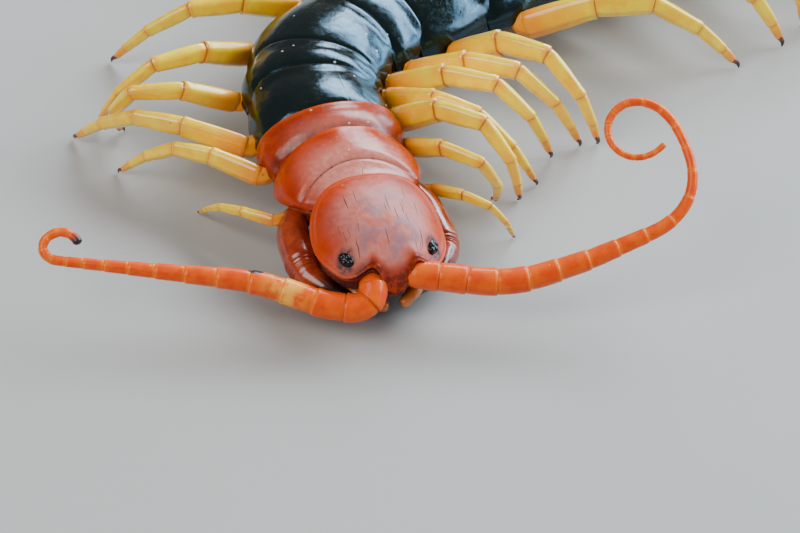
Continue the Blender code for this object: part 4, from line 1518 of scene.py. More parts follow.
@dataclass
class TailEnd:
    """The last pair of legs with their spines, and the flank pieces that carry them."""

    trunk: Trunk
    pieces: Rows = (
        (7.2, 0, 0), (6.0, 4, -4), (5.0, 7, -18), (3.6, 6, -30), (2.4, -2, -34), (1.5, -4, -40),
    )
    radii: tuple[float, ...] = (1.75, 1.45, 1.2, 0.95, 0.72, 0.36)
    gap: float = 0.3
    spines: Rows = ((0.42, 0.55), (0.66, 0.75), (0.93, 0.9), (0.55, -0.5), (0.8, -0.3))
    upper_spines: int = 3
    claw_tip: float = 0.09

    def line(self, root: Vector, heading: float, hand: int) -> list[Vector]:
        """Joints of a last leg, lifted so that its claw stands on the floor.

        Args:
            root: Where it begins.
            heading: Its direction in plan.
            hand: 1 for the left, -1 for the right.

        Returns:
            The joints.
        """
        low, high = -1.2, 1.2
        joints = [root]
        while high - low > 1e-6:
            lift = (low + high) / 2
            joints, way = [root], heading
            for length, turn, fall in self.pieces:
                way += math.radians(hand * turn)
                tilt = lift + math.radians(fall)
                level = length * math.cos(tilt)
                step = Vector((level * math.cos(way), level * math.sin(way), length * math.sin(tilt)))
                joints.append(joints[-1] + step)
            if joints[-1].z > 0:
                high = lift
            else:
                low = lift
        return joints

    def spine(self, shape: Shape, root: Vector, tip: Vector, radius: float) -> None:
        """Add one small spine, slightly hollow along its sides.

        Args:
            shape: Shape that it is added to.
            root: Where it begins.
            tip: Where it ends.
            radius: Radius of its root.
        """
        along = (tip - root).normalized()
        side = along.orthogonal().normalized()
        up = along.cross(side)
        rings = []
        for share, half in ((0.0, 0.0), (0.02, 1.0), (0.35, 0.62), (0.7, 0.34), (0.93, 0.16), (1.0, 0.0)):
            rings.append(Ring(root.lerp(tip, share), side, up, radius * half, radius * half, FAR, share))
        shape.tube(rings, round_section(10))

    def leg_rings(self, limb: Limb) -> list[Ring]:
        """Loops of a last leg's skin up to its claw.

        Args:
            limb: The leg's jointed tube.

        Returns:
            The loops.
        """
        rings = [limb.ring(0, 0.0, 0.0, 1.0, FAR, 0.0)]
        for k, radius in enumerate(self.radii[:-1]):
            length = (limb.joints[k + 1] - limb.joints[k]).length
            after = self.radii[k + 1]
            neck = 0.84 * radius
            rows = (
                (0.03, 0.9 * neck), (0.12, neck), (0.4, 0.5 * (neck + radius)),
                (0.25 * length, 0.98 * radius),
                (0.45 * length, radius), (0.68 * length, 0.7 * radius + 0.3 * after),
                (length - 0.45, 0.56 * radius + 0.44 * after), (length - 0.12, 0.58 * radius + 0.44 * after),
                (length - 0.03, 0.50 * radius + 0.44 * after),
            )
            for distance, half in rows:
                rim = min(distance, length - distance)
                rings.append(limb.ring(k, distance, half, 1.06, rim, 0.3 * k / 5))
        last = rings[-1]
        rings.append(Ring(limb.joints[5], last.side, last.up, 0.0, 0.0, 0.0, 0.3))
        return rings

    def build(self, shell: Coat, horn: Coat) -> None:
        """Build both last legs, their claws, spines and carriers.

        Args:
            shell: Coat of the shell.
            horn: Coat of the claws.
        """
        t = self.trunk
        here = t.station(t.starts[t.segments] + 0.86 * t.plate_length(t.segments))
        for side in Side:
            hand = side.value
            root = here @ Vector((-self.gap - 1.3, hand * 2.35, -0.5))
            way = (here.to_3x3() @ Vector((-1.0, hand * 0.22, 0.12))).normalized()
            limb = Limb(self.line(root, math.atan2(way.y, way.x), hand), UP, 0.6)
            shape = Shape()
            shape.tube(self.leg_rings(limb), FLAT_TOP)
            self.add_spines(shape, limb, hand)
            shape.settle()
            shape.finish(f"last_leg_{side.word}", shell, [f"leg_{side.word}_21"])
            tube_piece(f"last_claw_{side.word}", self.claw_rings(limb), DISC, horn)
            self.carrier(here, side, shell)

    def add_spines(self, shape: Shape, limb: Limb, hand: int) -> None:
        """Add the spines of a last leg's first piece: three above and two below.

        Args:
            shape: Shape that it is added to.
            limb: The leg's jointed tube.
            hand: 1 for the left, -1 for the right.
        """
        along = (limb.joints[1] - limb.joints[0]).normalized()
        across = along.cross(UP).normalized() * -hand
        for row, (share, lean) in enumerate(self.spines):
            at = limb.joints[0].lerp(limb.joints[1], share)
            outward = (across * -lean + UP * (0.75 if row < self.upper_spines else -0.8)).normalized()
            reach = self.radii[0] + (0.75 + 0.12 * row if row < self.upper_spines else 0.25)
            tip = at + outward * reach + along * 0.5
            self.spine(shape, at + outward * 0.7 * self.radii[0], tip, 0.36)

    def claw_rings(self, limb: Limb) -> list[Ring]:
        """Loops of a last leg's curved claw, which ends on the floor.

        Args:
            limb: The leg's jointed tube.

        Returns:
            The loops.
        """
        base, foot = limb.joints[5], limb.joints[6] + UP * self.claw_tip
        along = (foot - base).normalized()
        sideways = along.cross(UP).normalized()
        up = sideways.cross(along)
        rings = [Ring(base - along * 0.3, sideways, up)]
        for share, half in ((-0.15, 0.34), (0.1, 0.36), (0.4, 0.28), (0.7, 0.19), (0.93, 0.10)):
            gone = max(0.0, share)
            place = base.lerp(foot, share) + up * 0.14 * math.sin(math.pi * gone)
            rings.append(Ring(place, sideways, up, 0.85 * half, half, FAR, gone))
        rings.append(Ring(foot, sideways, up, course=1.0))
        return rings

    def carrier(self, here: Matrix, side: Side, shell: Coat) -> None:
        """Build the swollen flank piece that carries a last leg, with its spiny process.

        Args:
            here: Frame of the measures.
            side: Side of the animal.
            shell: Coat of the shell.
        """
        hand = side.value
        way = Vector((-1.0, hand * 0.22, 0.12)).normalized()
        across = way.cross(UP).normalized()
        across, up = here.to_3x3() @ across, here.to_3x3() @ across.cross(way)
        start, end = Vector((2.6, hand * 1.9, -0.8)), Vector((-1.3, hand * 2.35, -0.5))
        rings = [Ring(here @ start, across, up)]
        for share, half in ((0.03, 1.2), (0.2, 1.65), (0.5, 1.72), (0.8, 1.6), (0.95, 1.46), (0.99, 1.3)):
            rings.append(Ring(here @ start.lerp(end, share), across, up, half, 0.96 * half))
        rings.append(Ring(here @ end, across, up))
        shape = Shape()
        shape.tube(rings, round_section(28))
        process = Vector((0.4, hand * 1.3, -1.9)), Vector((-2.6, hand * 1.15, -2.25))
        self.spine(shape, here @ process[0], here @ process[1], 0.62)
        for turn in (-0.5, 0.5):
            tip = Vector((-2.5, hand * (1.2 + turn), -2.4))
            self.spine(shape, here @ Vector((-1.6, hand * 1.2, -2.1)), here @ tip, 0.16)
        shape.settle()
        shape.finish(f"leg_carrier_{side.word}", shell)


@dataclass
class Head:
    """The round head plate with its snout and feeler bays, the head under it, and the mouthparts."""

    trunk: Trunk
    front_half: float = 5.3
    rear_half: float = 4.8
    width: float = 11.0
    roll: float = -4.5
    crown: float = 3.6
    rim_back: float = 3.1
    rim_side: float = 0.5
    rim_front: float = 0.3
    chin: float = -1.75
    plate: float = 0.32
    plate_top: float = 0.80
    palp_loops: int = 32
    plate_grid: tuple[int, int] = (168, 96)
    under_grid: tuple[int, int] = (96, 32)
    bay: tuple[float, float, float] = (0.41, 0.19, 0.135)
    lip: float = 0.40
    snout: float = 1.25
    eye: tuple[float, float] = (3.0, 3.75)
    eye_size: tuple[float, float] = (0.73, 0.52)
    lenses: Rows = (
        (0.38, -0.03, 0.27), (0.03, 0.22, 0.26), (0.02, -0.22, 0.25), (-0.36, 0.03, 0.24),
    )
    under: Rows = (
        (0.0, 0.0), (0.6, 0.0), (0.95, 0.04), (0.965, 0.18), (0.93, 0.45), (0.86, 0.8), (0.70, 1.0),
        (0.35, 1.04), (0.0, 1.04),
    )
    palp: Rows = (
        (1.2, 2.7, -2.15, 0.55), (2.4, 2.75, -2.25, 0.60), (3.6, 2.3, -2.35, 0.62),
        (4.4, 1.55, -2.45, 0.58), (4.85, 0.95, -2.5, 0.50), (5.05, 0.55, -2.55, 0.34),
    )

    def frame(self) -> Matrix:
        """Frame of the head plate, which rolls a little to the animal's left."""
        return self.trunk.head_frame() @ Matrix.Rotation(math.radians(self.roll), 4, "X")

    def plain(self, turn: float) -> float:
        """Distance from the head's middle to its rim without bays; turn is 0 ahead and grows to the left.

        Args:
            turn: Direction from the head's middle.

        Returns:
            The distance.
        """
        half = self.front_half if math.cos(turn) > 0 else self.rear_half
        across, along = abs(2 * math.sin(turn) / self.width), abs(math.cos(turn) / half)
        return (along**2.25 + across**2.25) ** (-1 / 2.25)

    def outline(self, turn: float) -> float:
        """Distance from the head's middle to its rim, with a bay for each feeler.

        Args:
            turn: Direction from the head's middle.

        Returns:
            The distance.
        """
        off = abs(math.atan2(math.sin(turn), math.cos(turn)))
        middle, reach, depth = self.bay
        return self.plain(turn) * (1.0 - depth * bump(off, middle, reach))

    def rim(self, turn: float) -> float:
        """Height of the rim: high behind, where it lies on the first plate.

        Args:
            turn: Direction from the head's middle.

        Returns:
            The height.
        """
        back = smooth(-math.cos(turn), -0.15, 1.0)
        ahead = smooth(math.cos(turn), 0.55, 1.0)
        side = self.rim_side
        return side + (self.rim_back - side) * back + (self.rim_front - side) * ahead

    def dome(self, u: float, v: float) -> float:
        """Height of the head's plain dome, as in the solid.

        Args:
            u: Way ahead of the middle.
            v: Way to its left.

        Returns:
            The height.
        """
        turn = math.atan2(v, u)
        share = min(1.0, math.hypot(u, v) / self.plain(turn))
        return self.rim(turn) + (self.crown - self.rim(turn)) * (1.0 - share**2.3)

    def surface(self, turn: float, share: float) -> tuple[float, float, float]:
        """u, v and w of the plate's top at a share of the way from its middle to its rim.

        Args:
            turn: Direction from the head's middle.
            share: Share of the way.

        Returns:
            u, v and w.
        """
        off = abs(math.atan2(math.sin(turn), math.cos(turn)))
        radius = share * self.outline(turn)
        u, v = radius * math.cos(turn), radius * math.sin(turn)
        w = self.dome(u, v)
        middle, reach, _ = self.bay
        w += self.lip * bump(off, middle + 0.02, 1.5 * reach) * smooth(share, 0.66, 1.0)
        w -= self.snout * (1.0 - smooth(off, 0.13, 0.30)) * smooth(share, 0.82, 1.05) ** 1.5
        w += 0.08 * bump(math.hypot(u - self.eye[0] + 0.9, abs(v) - self.eye[1] + 0.5), 0.0, 1.0)
        w -= 0.24 * bump(math.hypot(u - self.eye[0] - 0.15, abs(v) - self.eye[1]), 0.0, 0.75)
        w -= 0.05 * bump(math.hypot(u + 0.6, abs(v) - 2.2), 0.0, 1.1)
        return u, v, w

    def plate_spot(self, a: float, b: float) -> Spot:
        """Point of the head plate: a goes round, b from the crown over the rim and back underneath; course is
        painted shade round the eyes, on the snout's front and beside the feeler bays.

        Args:
            a: Share across or round.
            b: Share along.

        Returns:
            The place and the two measures.
        """
        turn, top = 2 * math.pi * (a % 1.0), self.plate_top
        share = min(1.0, b / top) ** 0.85
        u, v, w = self.surface(turn, share)
        if b > top:
            under = (b - top) / (1.0 - top)
            roll = min(1.0, under / 0.45)
            inner = smooth(under, 0.45, 1.0) * 0.9
            out = self.outline(turn) * (1.0 + 0.018 * math.sin(math.pi * roll)) * (1.0 - inner)
            out -= 0.25 * smooth(roll, 0.5, 1.0)
            out = max(0.0, out) if under < 1.0 else 0.0
            u, v = out * math.cos(turn), out * math.sin(turn)
            w -= 0.5 * self.plate * (1.0 - math.cos(math.pi * roll))
            if inner > 0:
                w = w + (-0.4 - w) * smooth(under, 0.45, 0.8)
        spot, to_rim = Vector((u, v, 0.0)), 0.0
        w += 0.05 * ripple(spot, 3.0, 2.0) + 0.02 * ripple(spot, 1.0, 5.0)
        if b <= top:
            w += 0.05 * bump(share, 0.965, 0.02)
            to_rim = (1.0 - share) * self.outline(turn) * (1.0 + 1.3 * smooth(math.cos(turn), 0.55, 0.95))
        # Painted shade carried by course: dark round each eye, a ragged dark band on the snout's front slope,
        # and a painted shadow near the rim beside each feeler bay.
        near_eye = math.hypot((u - self.eye[0]) / 1.15, (abs(v) - self.eye[1]) / 0.85)
        dark = 0.92 * (1.0 - smooth(near_eye, 0.55, 1.0))
        off = abs(math.atan2(v, u)) if u or v else math.pi
        ragged = smooth(share + 0.04 * ripple(spot, 0.9, 9.0), 0.84, 0.96)
        front = 0.66 * (1 - smooth(off, 0.35, 0.85)) * ragged
        shadow = 0.30 * bump(off, 0.62, 0.12) * smooth(share, 0.80, 0.97)
        return self.frame() @ Vector((u, v, w)), to_rim, min(1.0, dark + front + shadow)

    def capsule_spot(self, a: float, b: float) -> Spot:
        """Point of the soft head under the plate, from inside the plate down to the chin.

        Args:
            a: Share across or round.
            b: Share along.

        Returns:
            The place and the two measures.
        """
        turn = 2 * math.pi * (a % 1.0)
        share, depth = curve_through(self.under, b)
        if b in (0.0, 1.0):
            share = 0.0
        top = self.surface(turn, 1.0)[2] - self.plate - 0.05
        off = abs(math.atan2(math.sin(turn), math.cos(turn)))
        chin = self.chin - 0.55 * bump(off, 0.0, 0.25)
        radius = share * self.outline(turn)
        w = top + (chin - top) * depth
        place = Vector((radius * math.cos(turn), radius * math.sin(turn), w))
        place.z += 0.05 * ripple(place, 1.2)
        return self.frame() @ place, FAR, 0.35 + 0.5 * bump(off, 0.0, 0.5)

    def eye_frame(self, hand: int) -> Matrix:
        """Frame on the head plate under an eye patch, its w along the surface's normal.

        Args:
            hand: 1 for the left, -1 for the right.

        Returns:
            The frame.
        """
        u, v = self.eye[0], hand * self.eye[1]
        tiny = 0.05
        du = (self.dome(u + tiny, v) - self.dome(u - tiny, v)) / (2 * tiny)
        dv = (self.dome(u, v + tiny) - self.dome(u, v - tiny)) / (2 * tiny)
        w = Vector((-du, -dv, 1)).normalized()
        x = Vector((0.86, -0.5 * hand, 0))
        x = (x - w * x.dot(w)).normalized()
        local = Matrix((x, w.cross(x), w)).transposed().to_4x4()
        local.translation = Vector((u, v, self.dome(u, v)))
        return self.frame() @ local

    def build(self, shell: Coat, flesh: Coat, eyes: Coat, horn: Coat) -> None:
        """Build the head plate, the head under it, the eyes and the mouthparts.

        Args:
            shell: Coat of the shell.
            flesh: Coat of the soft skin.
            eyes: Coat of the eyes.
            horn: Coat of the claws.
        """
        closed_piece("head_plate", self.plate_grid, self.plate_spot, shell, ["head"])
        closed_piece("head_underside", self.under_grid, self.capsule_spot, flesh)
        for side in Side:
            self.build_eye(side, eyes)
            self.build_palp(side, horn)

    def build_eye(self, side: Side, coat: Coat) -> None:
        """Build an eye patch: a low dark lens with four glossy simple eyes.

        Args:
            side: Side of the animal.
            coat: Its coat.
        """
        here = self.eye_frame(side.value)
        shape = Shape()
        a, b = self.eye_size
        shape.ball(1.0, Vector((a, b, 0.24)), here @ Matrix.Translation((0, 0, -0.06)))
        for x, y, radius in self.lenses:
            shape.ball(radius, Vector((1, 1, 0.75)), here @ Matrix.Translation((x, y, 0.06)), 1.0)
        shape.settle()
        shape.finish(f"eye_lenses_{side.word}", coat, [f"eye_{side.word}"])

    def build_palp(self, side: Side, coat: Coat) -> None:
        """Build the mouth feeler that shows under the snout, with its small claw.

        Args:
            side: Side of the animal.
            coat: Its coat.
        """
        here, steps, rings = self.trunk.head_frame(), self.palp_loops, []
        to_world = here.to_3x3()
        for k in range(steps + 1):
            t = k / steps
            (u, v, w, radius), across, over = along_rows(self.palp, t, 0.02, side.value)
            fold = 1.0 - 0.14 * bump(t, 0.36, 0.02) - 0.14 * bump(t, 0.7, 0.02)
            radius *= 0.0 if k in (0, steps) else fold
            place = here @ Vector((u, side.value * v, w))
            tip = 0.7 * smooth(t, 0.85, 1.0)
            rings.append(Ring(place, to_world @ across, to_world @ over, radius, radius, FAR, tip))
        tube_piece(f"mouth_feeler_{side.word}", rings, DISC, coat)


@dataclass
class Feelers:
    """The two feelers, chains of cup-shaped joints that curl in tilted planes."""

    trunk: Trunk
    socket: tuple[float, float, float] = (4.3, 1.75, -0.1)
    root_radius: float = 1.22
    middle_radius: float = 0.40
    tip_radius: float = 0.26
    tilt: float = 40.0
    lines: dict[Side, tuple[float, int, float, Rows]] = field(default_factory=lambda: {
        Side.LEFT: (44.5, 25, -6.6, (
            (4.0, 11.8, 25.0), (13.5, 15.7, 5.0), (19.0, 29.7, 90.0), (28.8, 48.3, 330.0),
        )),
        Side.RIGHT: (33.0, 18, -70.0, (
            (-0.7, 3.7, -118.0), (5.0, 5.6, -11.0), (8.2, 14.0, 13.0), (26.9, 30.1, -82.0),
            (27.5, 35.0, -189.0),
        )),
    })
    first_joint: dict[Side, float] = field(default_factory=lambda: {Side.LEFT: 1.05, Side.RIGHT: 0.72})
    profile: Rows = (
        (0.012, 0.905), (0.04, 0.938), (0.14, 0.958), (0.34, 0.975), (0.55, 0.990), (0.76, 1.005),
        (0.90, 1.022), (0.965, 1.020), (0.99, 0.965),
    )
    root: Rows = (
        (0.9, 0.0), (0.88, 0.40), (0.72, 0.70), (0.45, 0.92), (0.20, 1.04), (0.05, 1.10),
    )

    def path(self, side: Side) -> tuple[list[tuple[Vector, Vector]], Vector]:
        """Points and directions along a feeler, and the normal of its plane.

        Args:
            side: Side of the animal.

        Returns:
            The points with their directions, and the normal.
        """
        u, v, w = self.socket
        tilt = math.radians(self.tilt)
        e1, e2 = Vector((1, 0, 0)), Vector((0, math.cos(tilt), math.sin(tilt)))
        length, joints, start, bends = self.lines[side]
        steps = joints * 8
        step = length / steps
        points, at = [], self.trunk.head_frame() @ Vector((u, side.value * v, w))
        for k in range(steps + 1):
            way = math.radians(turned(k * step, start, bends))
            along = e1 * math.cos(way) + e2 * math.sin(way)
            points.append((at.copy(), along))
            at = at + step * along
        return points, e1.cross(e2)

    def place(self, points: list[tuple[Vector, Vector]], share: float) -> tuple[Vector, Vector]:
        """Point and direction at a share of a feeler's length.

        Args:
            points: The feeler's points and directions.
            share: Share of the way.

        Returns:
            Point and direction.
        """
        at = min(share, 1.0) * (len(points) - 1)
        k = min(int(at), len(points) - 2)
        spot = points[k][0].lerp(points[k + 1][0], at - k)
        return spot, points[k][1].lerp(points[k + 1][1], at - k).normalized()

    def ends(self, joints: int, side: Side) -> list[tuple[float, float]]:
        """Where each joint begins and ends, as shares of the length.

        Args:
            joints: How many joints there are.
            side: Side of the animal.

        Returns:
            Both shares for each joint.
        """
        first = self.first_joint[side]
        grown = [first + (1.35 - first) * smooth(k, -1, 3) for k in range(joints)]
        sizes = [size - 0.86 * smooth(k / joints, 0.24, 0.80) for k, size in enumerate(grown)]
        total, found, at = sum(sizes), [], 0.0
        for size in sizes:
            found.append((at / total, (at + size) / total))
            at += size
        return found

    def radius(self, reach: float) -> float:
        """Radius of a feeler at a distance from its root."""
        slim = self.root_radius - (self.root_radius - self.middle_radius) * smooth(reach, 1.0, 30.0)
        return slim - (self.middle_radius - self.tip_radius) * smooth(reach, 30.0, 45.0)

    def build(self, coat: Coat) -> None:
        """Build both feelers; course is over 2 on the left one, which has no painted highlight band.

        Args:
            coat: Its coat.
        """
        for side in Side:
            points, normal = self.path(side)
            length, joints, _, _ = self.lines[side]
            extra = 2.0 if side is Side.LEFT else 0.0
            rings = []
            at, along = self.place(points, 0.0)
            for back, half in self.root:
                rings.append(Ring(at - along * back, normal, normal.cross(along), half, half, FAR, extra))
            for low, high in self.ends(joints, side):
                for part, fit in self.profile:
                    share = low + (high - low) * part
                    at, along = self.place(points, share)
                    half = self.radius(share * length) * fit
                    rim = min(part, 1.0 - part) * (high - low) * length
                    rings.append(Ring(at, normal, normal.cross(along), half, half, rim, share + extra))
            at, along = points[-1]
            half = self.radius(length)
            for ahead, fit in ((0.15, 0.88), (0.35, 0.62), (0.45, 0.35), (0.5, 0.0)):
                spot, size = at + along * (half * ahead), half * fit
                rings.append(Ring(spot, normal, normal.cross(along), size, size, FAR, 1.0 + extra))
            tube_piece(f"feeler_{side.word}", rings, round_section(28), coat, [f"antenna_{side.word}"])


@dataclass
class Fangs:
    """The poison claws with their creased joints, and the breast plate that carries them."""

    trunk: Trunk
    rows: Rows = (
        (-6.3, 5.2, -2.10, 1.15, 1.70), (-4.5, 5.75, -2.15, 1.42, 1.78), (-2.5, 5.85, -2.20, 1.50, 1.64),
        (-0.9, 5.95, -2.24, 1.42, 1.54), (0.1, 5.85, -2.34, 1.26, 1.46), (0.7, 5.65, -2.38, 1.18, 1.38),
        (1.9, 4.85, -2.50, 1.00, 1.20), (2.9, 3.60, -2.70, 0.72, 0.88), (3.6, 2.15, -2.90, 0.42, 0.52),
        (3.75, 1.00, -3.00, 0.10, 0.12),
    )
    folds: dict[Side, tuple[float, ...]] = field(default_factory=lambda: {
        Side.LEFT: (0.385, 0.425, 0.465, 0.505), Side.RIGHT: (0.320, 0.348, 0.380, 0.414),
    })
    breast: Rows = (
        (-6.9, 2.6, -1.9, -2.6), (-6.6, 3.5, -1.75, -3.0), (-5.2, 3.6, -1.9, -3.35),
        (-3.6, 3.6, -2.0, -3.5), (-2.0, 3.6, -2.05, -3.55),
        (-0.6, 3.35, -2.1, -3.55), (0.8, 3.0, -2.2, -3.45), (2.3, 2.2, -2.35, -3.15),
    )
    tooth: Rows = ((0.0, 0.0), (0.02, 0.30), (0.6, 0.27), (0.85, 0.20), (0.96, 0.11), (1.0, 0.0))
    teeth: int = 4
    loops: int = 150
    breast_grid: tuple[int, int] = (72, 48)

    def build(self, coat: Coat, shell: Coat) -> None:
        """Build both fangs and the breast plate with its teeth.

        Args:
            coat: Its coat.
            shell: Coat of the shell.
        """
        here = self.trunk.head_frame()
        for side in Side:
            rings, nodes = self.rings(here, side), [f"forcipule_{side.word}"]
            tube_piece(f"poison_claw_{side.word}", rings, round_section(40), coat, nodes)
        closed_piece("breast_plate", self.breast_grid, lambda a, b: self.breast_spot(here, a, b), shell)
        for side in Side:
            teeth = Shape()
            self.add_teeth(teeth, here, side.value)
            teeth.settle()
            teeth.finish(f"breast_teeth_{side.word}", coat)

    def rings(self, here: Matrix, side: Side) -> list[Ring]:
        """Loops of one poison claw from its root to its point.

        Args:
            here: Frame of the measures.
            side: Side of the animal.

        Returns:
            The loops.
        """
        rings, folds, to_world = [], self.folds[side], here.to_3x3()
        for k in range(self.loops + 1):
            t = k / self.loops
            (u, v, w, half_side, half_up), across, over = along_rows(self.rows, t, 0.012, side.value)
            crease = sum(bump(t, fold, 0.010) for fold in folds)
            swollen = smooth(t, folds[0] - 0.09, folds[0] - 0.01)
            swollen *= 1 - smooth(t, folds[3] + 0.01, folds[3] + 0.08)
            fit = 0.0 if k in (0, self.loops) else 1.0 - 0.11 * crease + 0.02 * swollen
            place = here @ Vector((u, side.value * v, w))
            sizes = half_side * fit, half_up * fit
            rings.append(Ring(place, to_world @ across, to_world @ over, *sizes, FAR, t))
        return rings

    def breast_spot(self, here: Matrix, a: float, b: float) -> Spot:
        """Point of the breast plate: a goes round it, b from its rear to its toothed lip.

        Args:
            here: Frame of the measures.
            a: Share across or round.
            b: Share along.

        Returns:
            The place and the two measures.
        """
        turn = 2 * math.pi * (a % 1.0)
        u, half, top, bottom = curve_through(self.breast, b)
        c, s = math.cos(turn), math.sin(turn)
        power = 0.62
        v = half * math.copysign(abs(s) ** power, s)
        middle, deep = 0.5 * (top + bottom), 0.5 * (top - bottom)
        w = middle + deep * math.copysign(abs(c) ** power, c)
        if b in (0.0, 1.0):
            v, w = 0.0, middle
        notch = 0.16 * bump(v, 0.0, 0.35) * smooth(-c, 0.2, 0.6)
        u -= 0.5 * bump(v, 0, 0.3) * smooth(b, 0.9, 1.0)
        return here @ Vector((u, v, w + notch)), FAR, 0.3 * smooth(b, 0.8, 1.0)

    def add_teeth(self, shape: Shape, here: Matrix, hand: int) -> None:
        """Add four blunt teeth on one half of the breast plate's lip.

        Args:
            shape: Shape that it is added to.
            here: Frame of the measures.
            hand: 1 for the left, -1 for the right.
        """
        for k in range(self.teeth):
            v = hand * (0.42 + 0.42 * k)
            root, tip = here @ Vector((1.3, v, -2.8)), here @ Vector((2.70 - 0.08 * k, v * 0.98, -2.85))
            along = (tip - root).normalized()
            side, rings = along.cross(UP).normalized(), []
            up = side.cross(along)
            for share, half in self.tooth:
                rings.append(Ring(root.lerp(tip, share), side, up, half, half, FAR, 0.5 + 0.5 * share))
            shape.tube(rings, round_section(12))


@dataclass
class Studio:
    """Pale floor, soft lights and the camera at the photograph's angle."""

    camera_place: tuple[float, float, float] = (-14.13, -289.77, 184.27)
    camera_tilt: float = 50.0
    lens: float = 155.0
    floor_size: float = 3000.0

    def build(self) -> None:
        """Build the studio."""
        bm = bmesh.new()
        bmesh.ops.create_grid(bm, x_segments=1, y_segments=1, size=0.5 * self.floor_size * MM)
        bmesh.ops.translate(bm, vec=(0, 0, -0.02 * MM), verts=bm.verts)
        mesh = bpy.data.meshes.new("floor")
        bm.to_mesh(mesh)
        bm.free()
        floor = bpy.data.objects.new("floor", mesh)
        bpy.context.scene.collection.objects.link(floor)
        mesh.materials.append(FloorFinish().paint())
        self.light("window", (330.0, 330.0, 400.0), (820.0, 230.0), 10.5, (0.76, 0.90, 1.0))
        self.light("skyline", (640.0, 420.0, 130.0), (760.0, 260.0), 6.0, (0.38, 0.75, 1.0))
        self.light("side", (480.0, -60.0, 240.0), (240.0, 240.0), 1.8, (0.90, 0.95, 1.0))
        self.light("fill", (-380.0, -330.0, 460.0), (480.0, 480.0), 4.0, (1.0, 0.97, 0.93))
        world = bpy.data.worlds.new("pale_room")
        world.use_nodes = True
        back = world.node_tree.nodes["Background"]
        back.inputs["Color"].default_value = (0.80, 0.83, 0.86, 1.0)
        back.inputs["Strength"].default_value = 0.20
        bpy.context.scene.world = world
        data = bpy.data.cameras.new("camera")
        data.lens = self.lens
        data.sensor_width = 36.0
        data.clip_start = 0.01
        camera = bpy.data.objects.new("camera", data)
        camera.location = Vector(self.camera_place) * MM
        camera.rotation_euler = (math.radians(self.camera_tilt), 0.0, 0.0)
        bpy.context.scene.collection.objects.link(camera)
        bpy.context.scene.camera = camera

    def light(
        self, name: str, place: tuple[float, ...], size: tuple[float, float], watts: float, colour: Colour
    ) -> None:
        """Add a soft rectangular light that faces the animal's head.

        Args:
            name: Name of the light.
            place: Its place.
            size: Its width and height.
            watts: Its power.
            colour: Its colour.
        """
        data = bpy.data.lights.new(name, "AREA")
        data.shape = "RECTANGLE"
        data.size, data.size_y = size[0] * MM, size[1] * MM
        data.energy = watts
        data.color = colour
        lamp = bpy.data.objects.new(name, data)
        lamp.location = Vector(place) * MM
        aim = Vector((-10.0, -50.0, 5.0)) * MM - lamp.location
        lamp.rotation_euler = aim.to_track_quat("-Z", "Y").to_euler()
        bpy.context.scene.collection.objects.link(lamp)


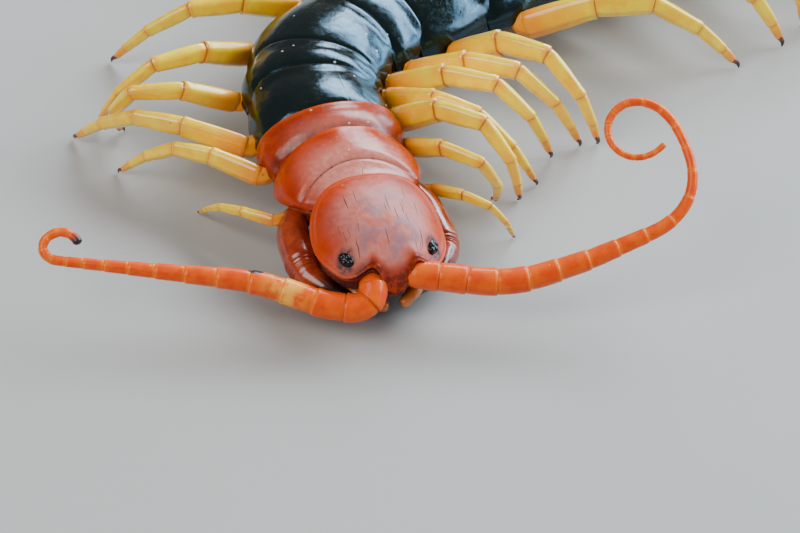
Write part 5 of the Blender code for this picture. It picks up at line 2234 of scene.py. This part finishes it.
def finishes(fx: Effects) -> dict[str, Coat]:
    """Build every finish of the animal.

    Args:
        fx: The shared effects.

    Returns:
        Material and slot for each kind of piece.
    """
    red = ShellFinish(
        "head_shell", body=(0.46, 0.034, 0.0), deep=(0.35, 0.020, 0.0), painted_sheen=(0.54, 0.185, 0.150),
        rim=(0.52, 0.044, 0.0), shade=(0.050, 0.005, 0.002), dust=(0.75, 0.38, 0.08),
        painted_sheen_share=0.82, painted_sheen_from=2.8, rim_reach=0.55, dash_chance=0.85, dust_chance=0.07, dust_size=0.7,
        roughness=0.38, coat_weight=0.04, specular=0.22, patches=(0.26, 0.13, 0.16), patch_share=0.75,
    )
    orange = ShellFinish(
        "front_plate_shell", body=(0.45, 0.033, 0.0), deep=(0.34, 0.020, 0.0), painted_sheen=(0.62, 0.24, 0.19),
        rim=(0.60, 0.060, 0.0), shade=(0.06, 0.008, 0.003), dust=(0.75, 0.40, 0.15),
        painted_sheen_share=0.78, painted_sheen_from=4.0, painted_sheen_sides=(0.20, 0.62), rim_reach=0.6, dash_chance=0.04,
        dust_chance=0.05, dust_size=0.8, roughness=0.22, coat_weight=0.08, specular=0.32, waves=0.06,
    )
    dark = ShellFinish(
        "back_plate_shell", body=(0.0065, 0.0075, 0.0035), deep=(0.004, 0.0040, 0.002),
        painted_sheen=(0.005, 0.009, 0.007), rim=(0.010, 0.010, 0.003), shade=(0.002, 0.003, 0.002),
        dust=(0.62, 0.60, 0.52), painted_sheen_share=0.4, rim_reach=0.25, dust_chance=0.14, dust_size=0.9,
        roughness=0.13, sutures=0.21, suture_depth=0.006, coat_weight=0.04, specular=0.70,
        specular_tint=(0.30, 0.66, 1.0), waves=0.07,
    )
    belly = ShellFinish(
        "belly_plate_shell", body=(0.20, 0.085, 0.022), deep=(0.10, 0.045, 0.014), painted_sheen=(0.24, 0.12, 0.035),
        rim=(0.05, 0.03, 0.015), shade=(0.03, 0.02, 0.01), dust=(0.5, 0.4, 0.25), painted_sheen_share=0.5,
        rim_reach=0.4, dust_chance=0.04, dust_size=0.9, roughness=0.30, sutures=0.46, suture_depth=0.05,
    )
    tail = ShellFinish(
        "last_leg_shell", body=(0.030, 0.022, 0.010), deep=(0.010, 0.008, 0.005), painted_sheen=(0.04, 0.030, 0.012),
        rim=(0.08, 0.035, 0.008), shade=(0.10, 0.045, 0.010), dust=(0.5, 0.45, 0.3), painted_sheen_share=0.3,
        rim_reach=0.12, dust_chance=0.05, dust_size=1.0, roughness=0.20,
    )
    legs = LegFinish(
        "leg_skin", body=(0.98, 0.54, 0.0), pale=(1.0, 0.72, 0.0), orange=(0.88, 0.28, 0.0),
        ring=(0.44, 0.10, 0.0),
    )
    feelers = FeelerFinish(
        "feeler_skin", body=(0.74, 0.058, 0.0), pale=(0.98, 0.20, 0.0), ring=(0.42, 0.042, 0.0),
        painted_glint=(0.95, 0.44, 0.05), mark=(0.015, 0.02, 0.035),
    )
    fangs = HornFinish(
        "fang_horn", body=(0.36, 0.040, 0.002), deep=(0.23, 0.017, 0.001), tip=(0.010, 0.004, 0.003),
        tip_from=0.56, tip_to=0.72, roughness=0.20,
    )
    claws = HornFinish(
        "claw_horn", body=(0.20, 0.035, 0.006), deep=(0.10, 0.016, 0.004), tip=(0.012, 0.005, 0.003),
        tip_from=0.05, tip_to=0.45, roughness=0.25,
    )
    palps = HornFinish(
        "mouth_horn", body=(0.62, 0.20, 0.03), deep=(0.50, 0.12, 0.015), tip=(0.06, 0.02, 0.01),
        tip_from=0.6, tip_to=1.0, roughness=0.28,
    )
    eyes = HornFinish(
        "eye_lens", body=(0.010, 0.007, 0.008), deep=(0.006, 0.004, 0.005), tip=(0.004, 0.004, 0.006),
        tip_from=0.3, tip_to=0.9, roughness=0.03, pores=0.0, waves=0.0, coat_weight=0.0, specular=0.35,
    )
    flesh = FleshFinish(
        "flank_skin", body=(0.005, 0.009, 0.008), olive=(0.016, 0.020, 0.010), orange=(0.28, 0.030, 0.003),
    )
    throat = FleshFinish(
        "throat_skin", body=(0.10, 0.014, 0.005), olive=(0.20, 0.03, 0.008), orange=(0.16, 0.018, 0.006),
    )
    return {
        "head": Coat(red.paint(fx), "head_orange"),
        "front": Coat(orange.paint(fx), "plate_orange"),
        "back": Coat(dark.paint(fx), "plate_dark"),
        "belly": Coat(belly.paint(fx), "plate_dark"),
        "tail": Coat(tail.paint(fx), "tail_dark"),
        "leg": Coat(legs.paint(fx), "leg_yellow"),
        "feeler": Coat(feelers.paint(fx), "feeler_orange"),
        "fang": Coat(fangs.paint(fx), "fang_brown"),
        "claw": Coat(claws.paint(fx), "fang_brown"),
        "palp": Coat(palps.paint(fx), "fang_brown"),
        "eye": Coat(eyes.paint(fx), "eye_black"),
        "flank": Coat(flesh.paint(fx), "plate_dark"),
        "throat": Coat(throat.paint(fx), "head_orange"),
    }


def main() -> None:
    """Build the animal's pieces in order, then the studio."""
    logging.basicConfig(level=logging.INFO, format="%(name)s %(message)s")
    coats = finishes(Effects())
    trunk = Trunk()
    trunk_nodes = sorted(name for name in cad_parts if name.startswith("trunk_"))
    Flanks(trunk).build(coats["flank"], trunk_nodes)
    BackPlates(trunk).build(coats["front"], coats["back"])
    BellyPlates(trunk).build(coats["belly"], coats["claw"])
    Head(trunk).build(coats["head"], coats["throat"], coats["eye"], coats["palp"])
    Feelers(trunk).build(coats["feeler"])
    Fangs(trunk).build(coats["fang"], coats["front"])
    Legs(trunk).build(coats["leg"], coats["claw"])
    TailEnd(trunk).build(coats["tail"], coats["claw"])
    Studio().build()


if __name__ == "__main__":
    main()
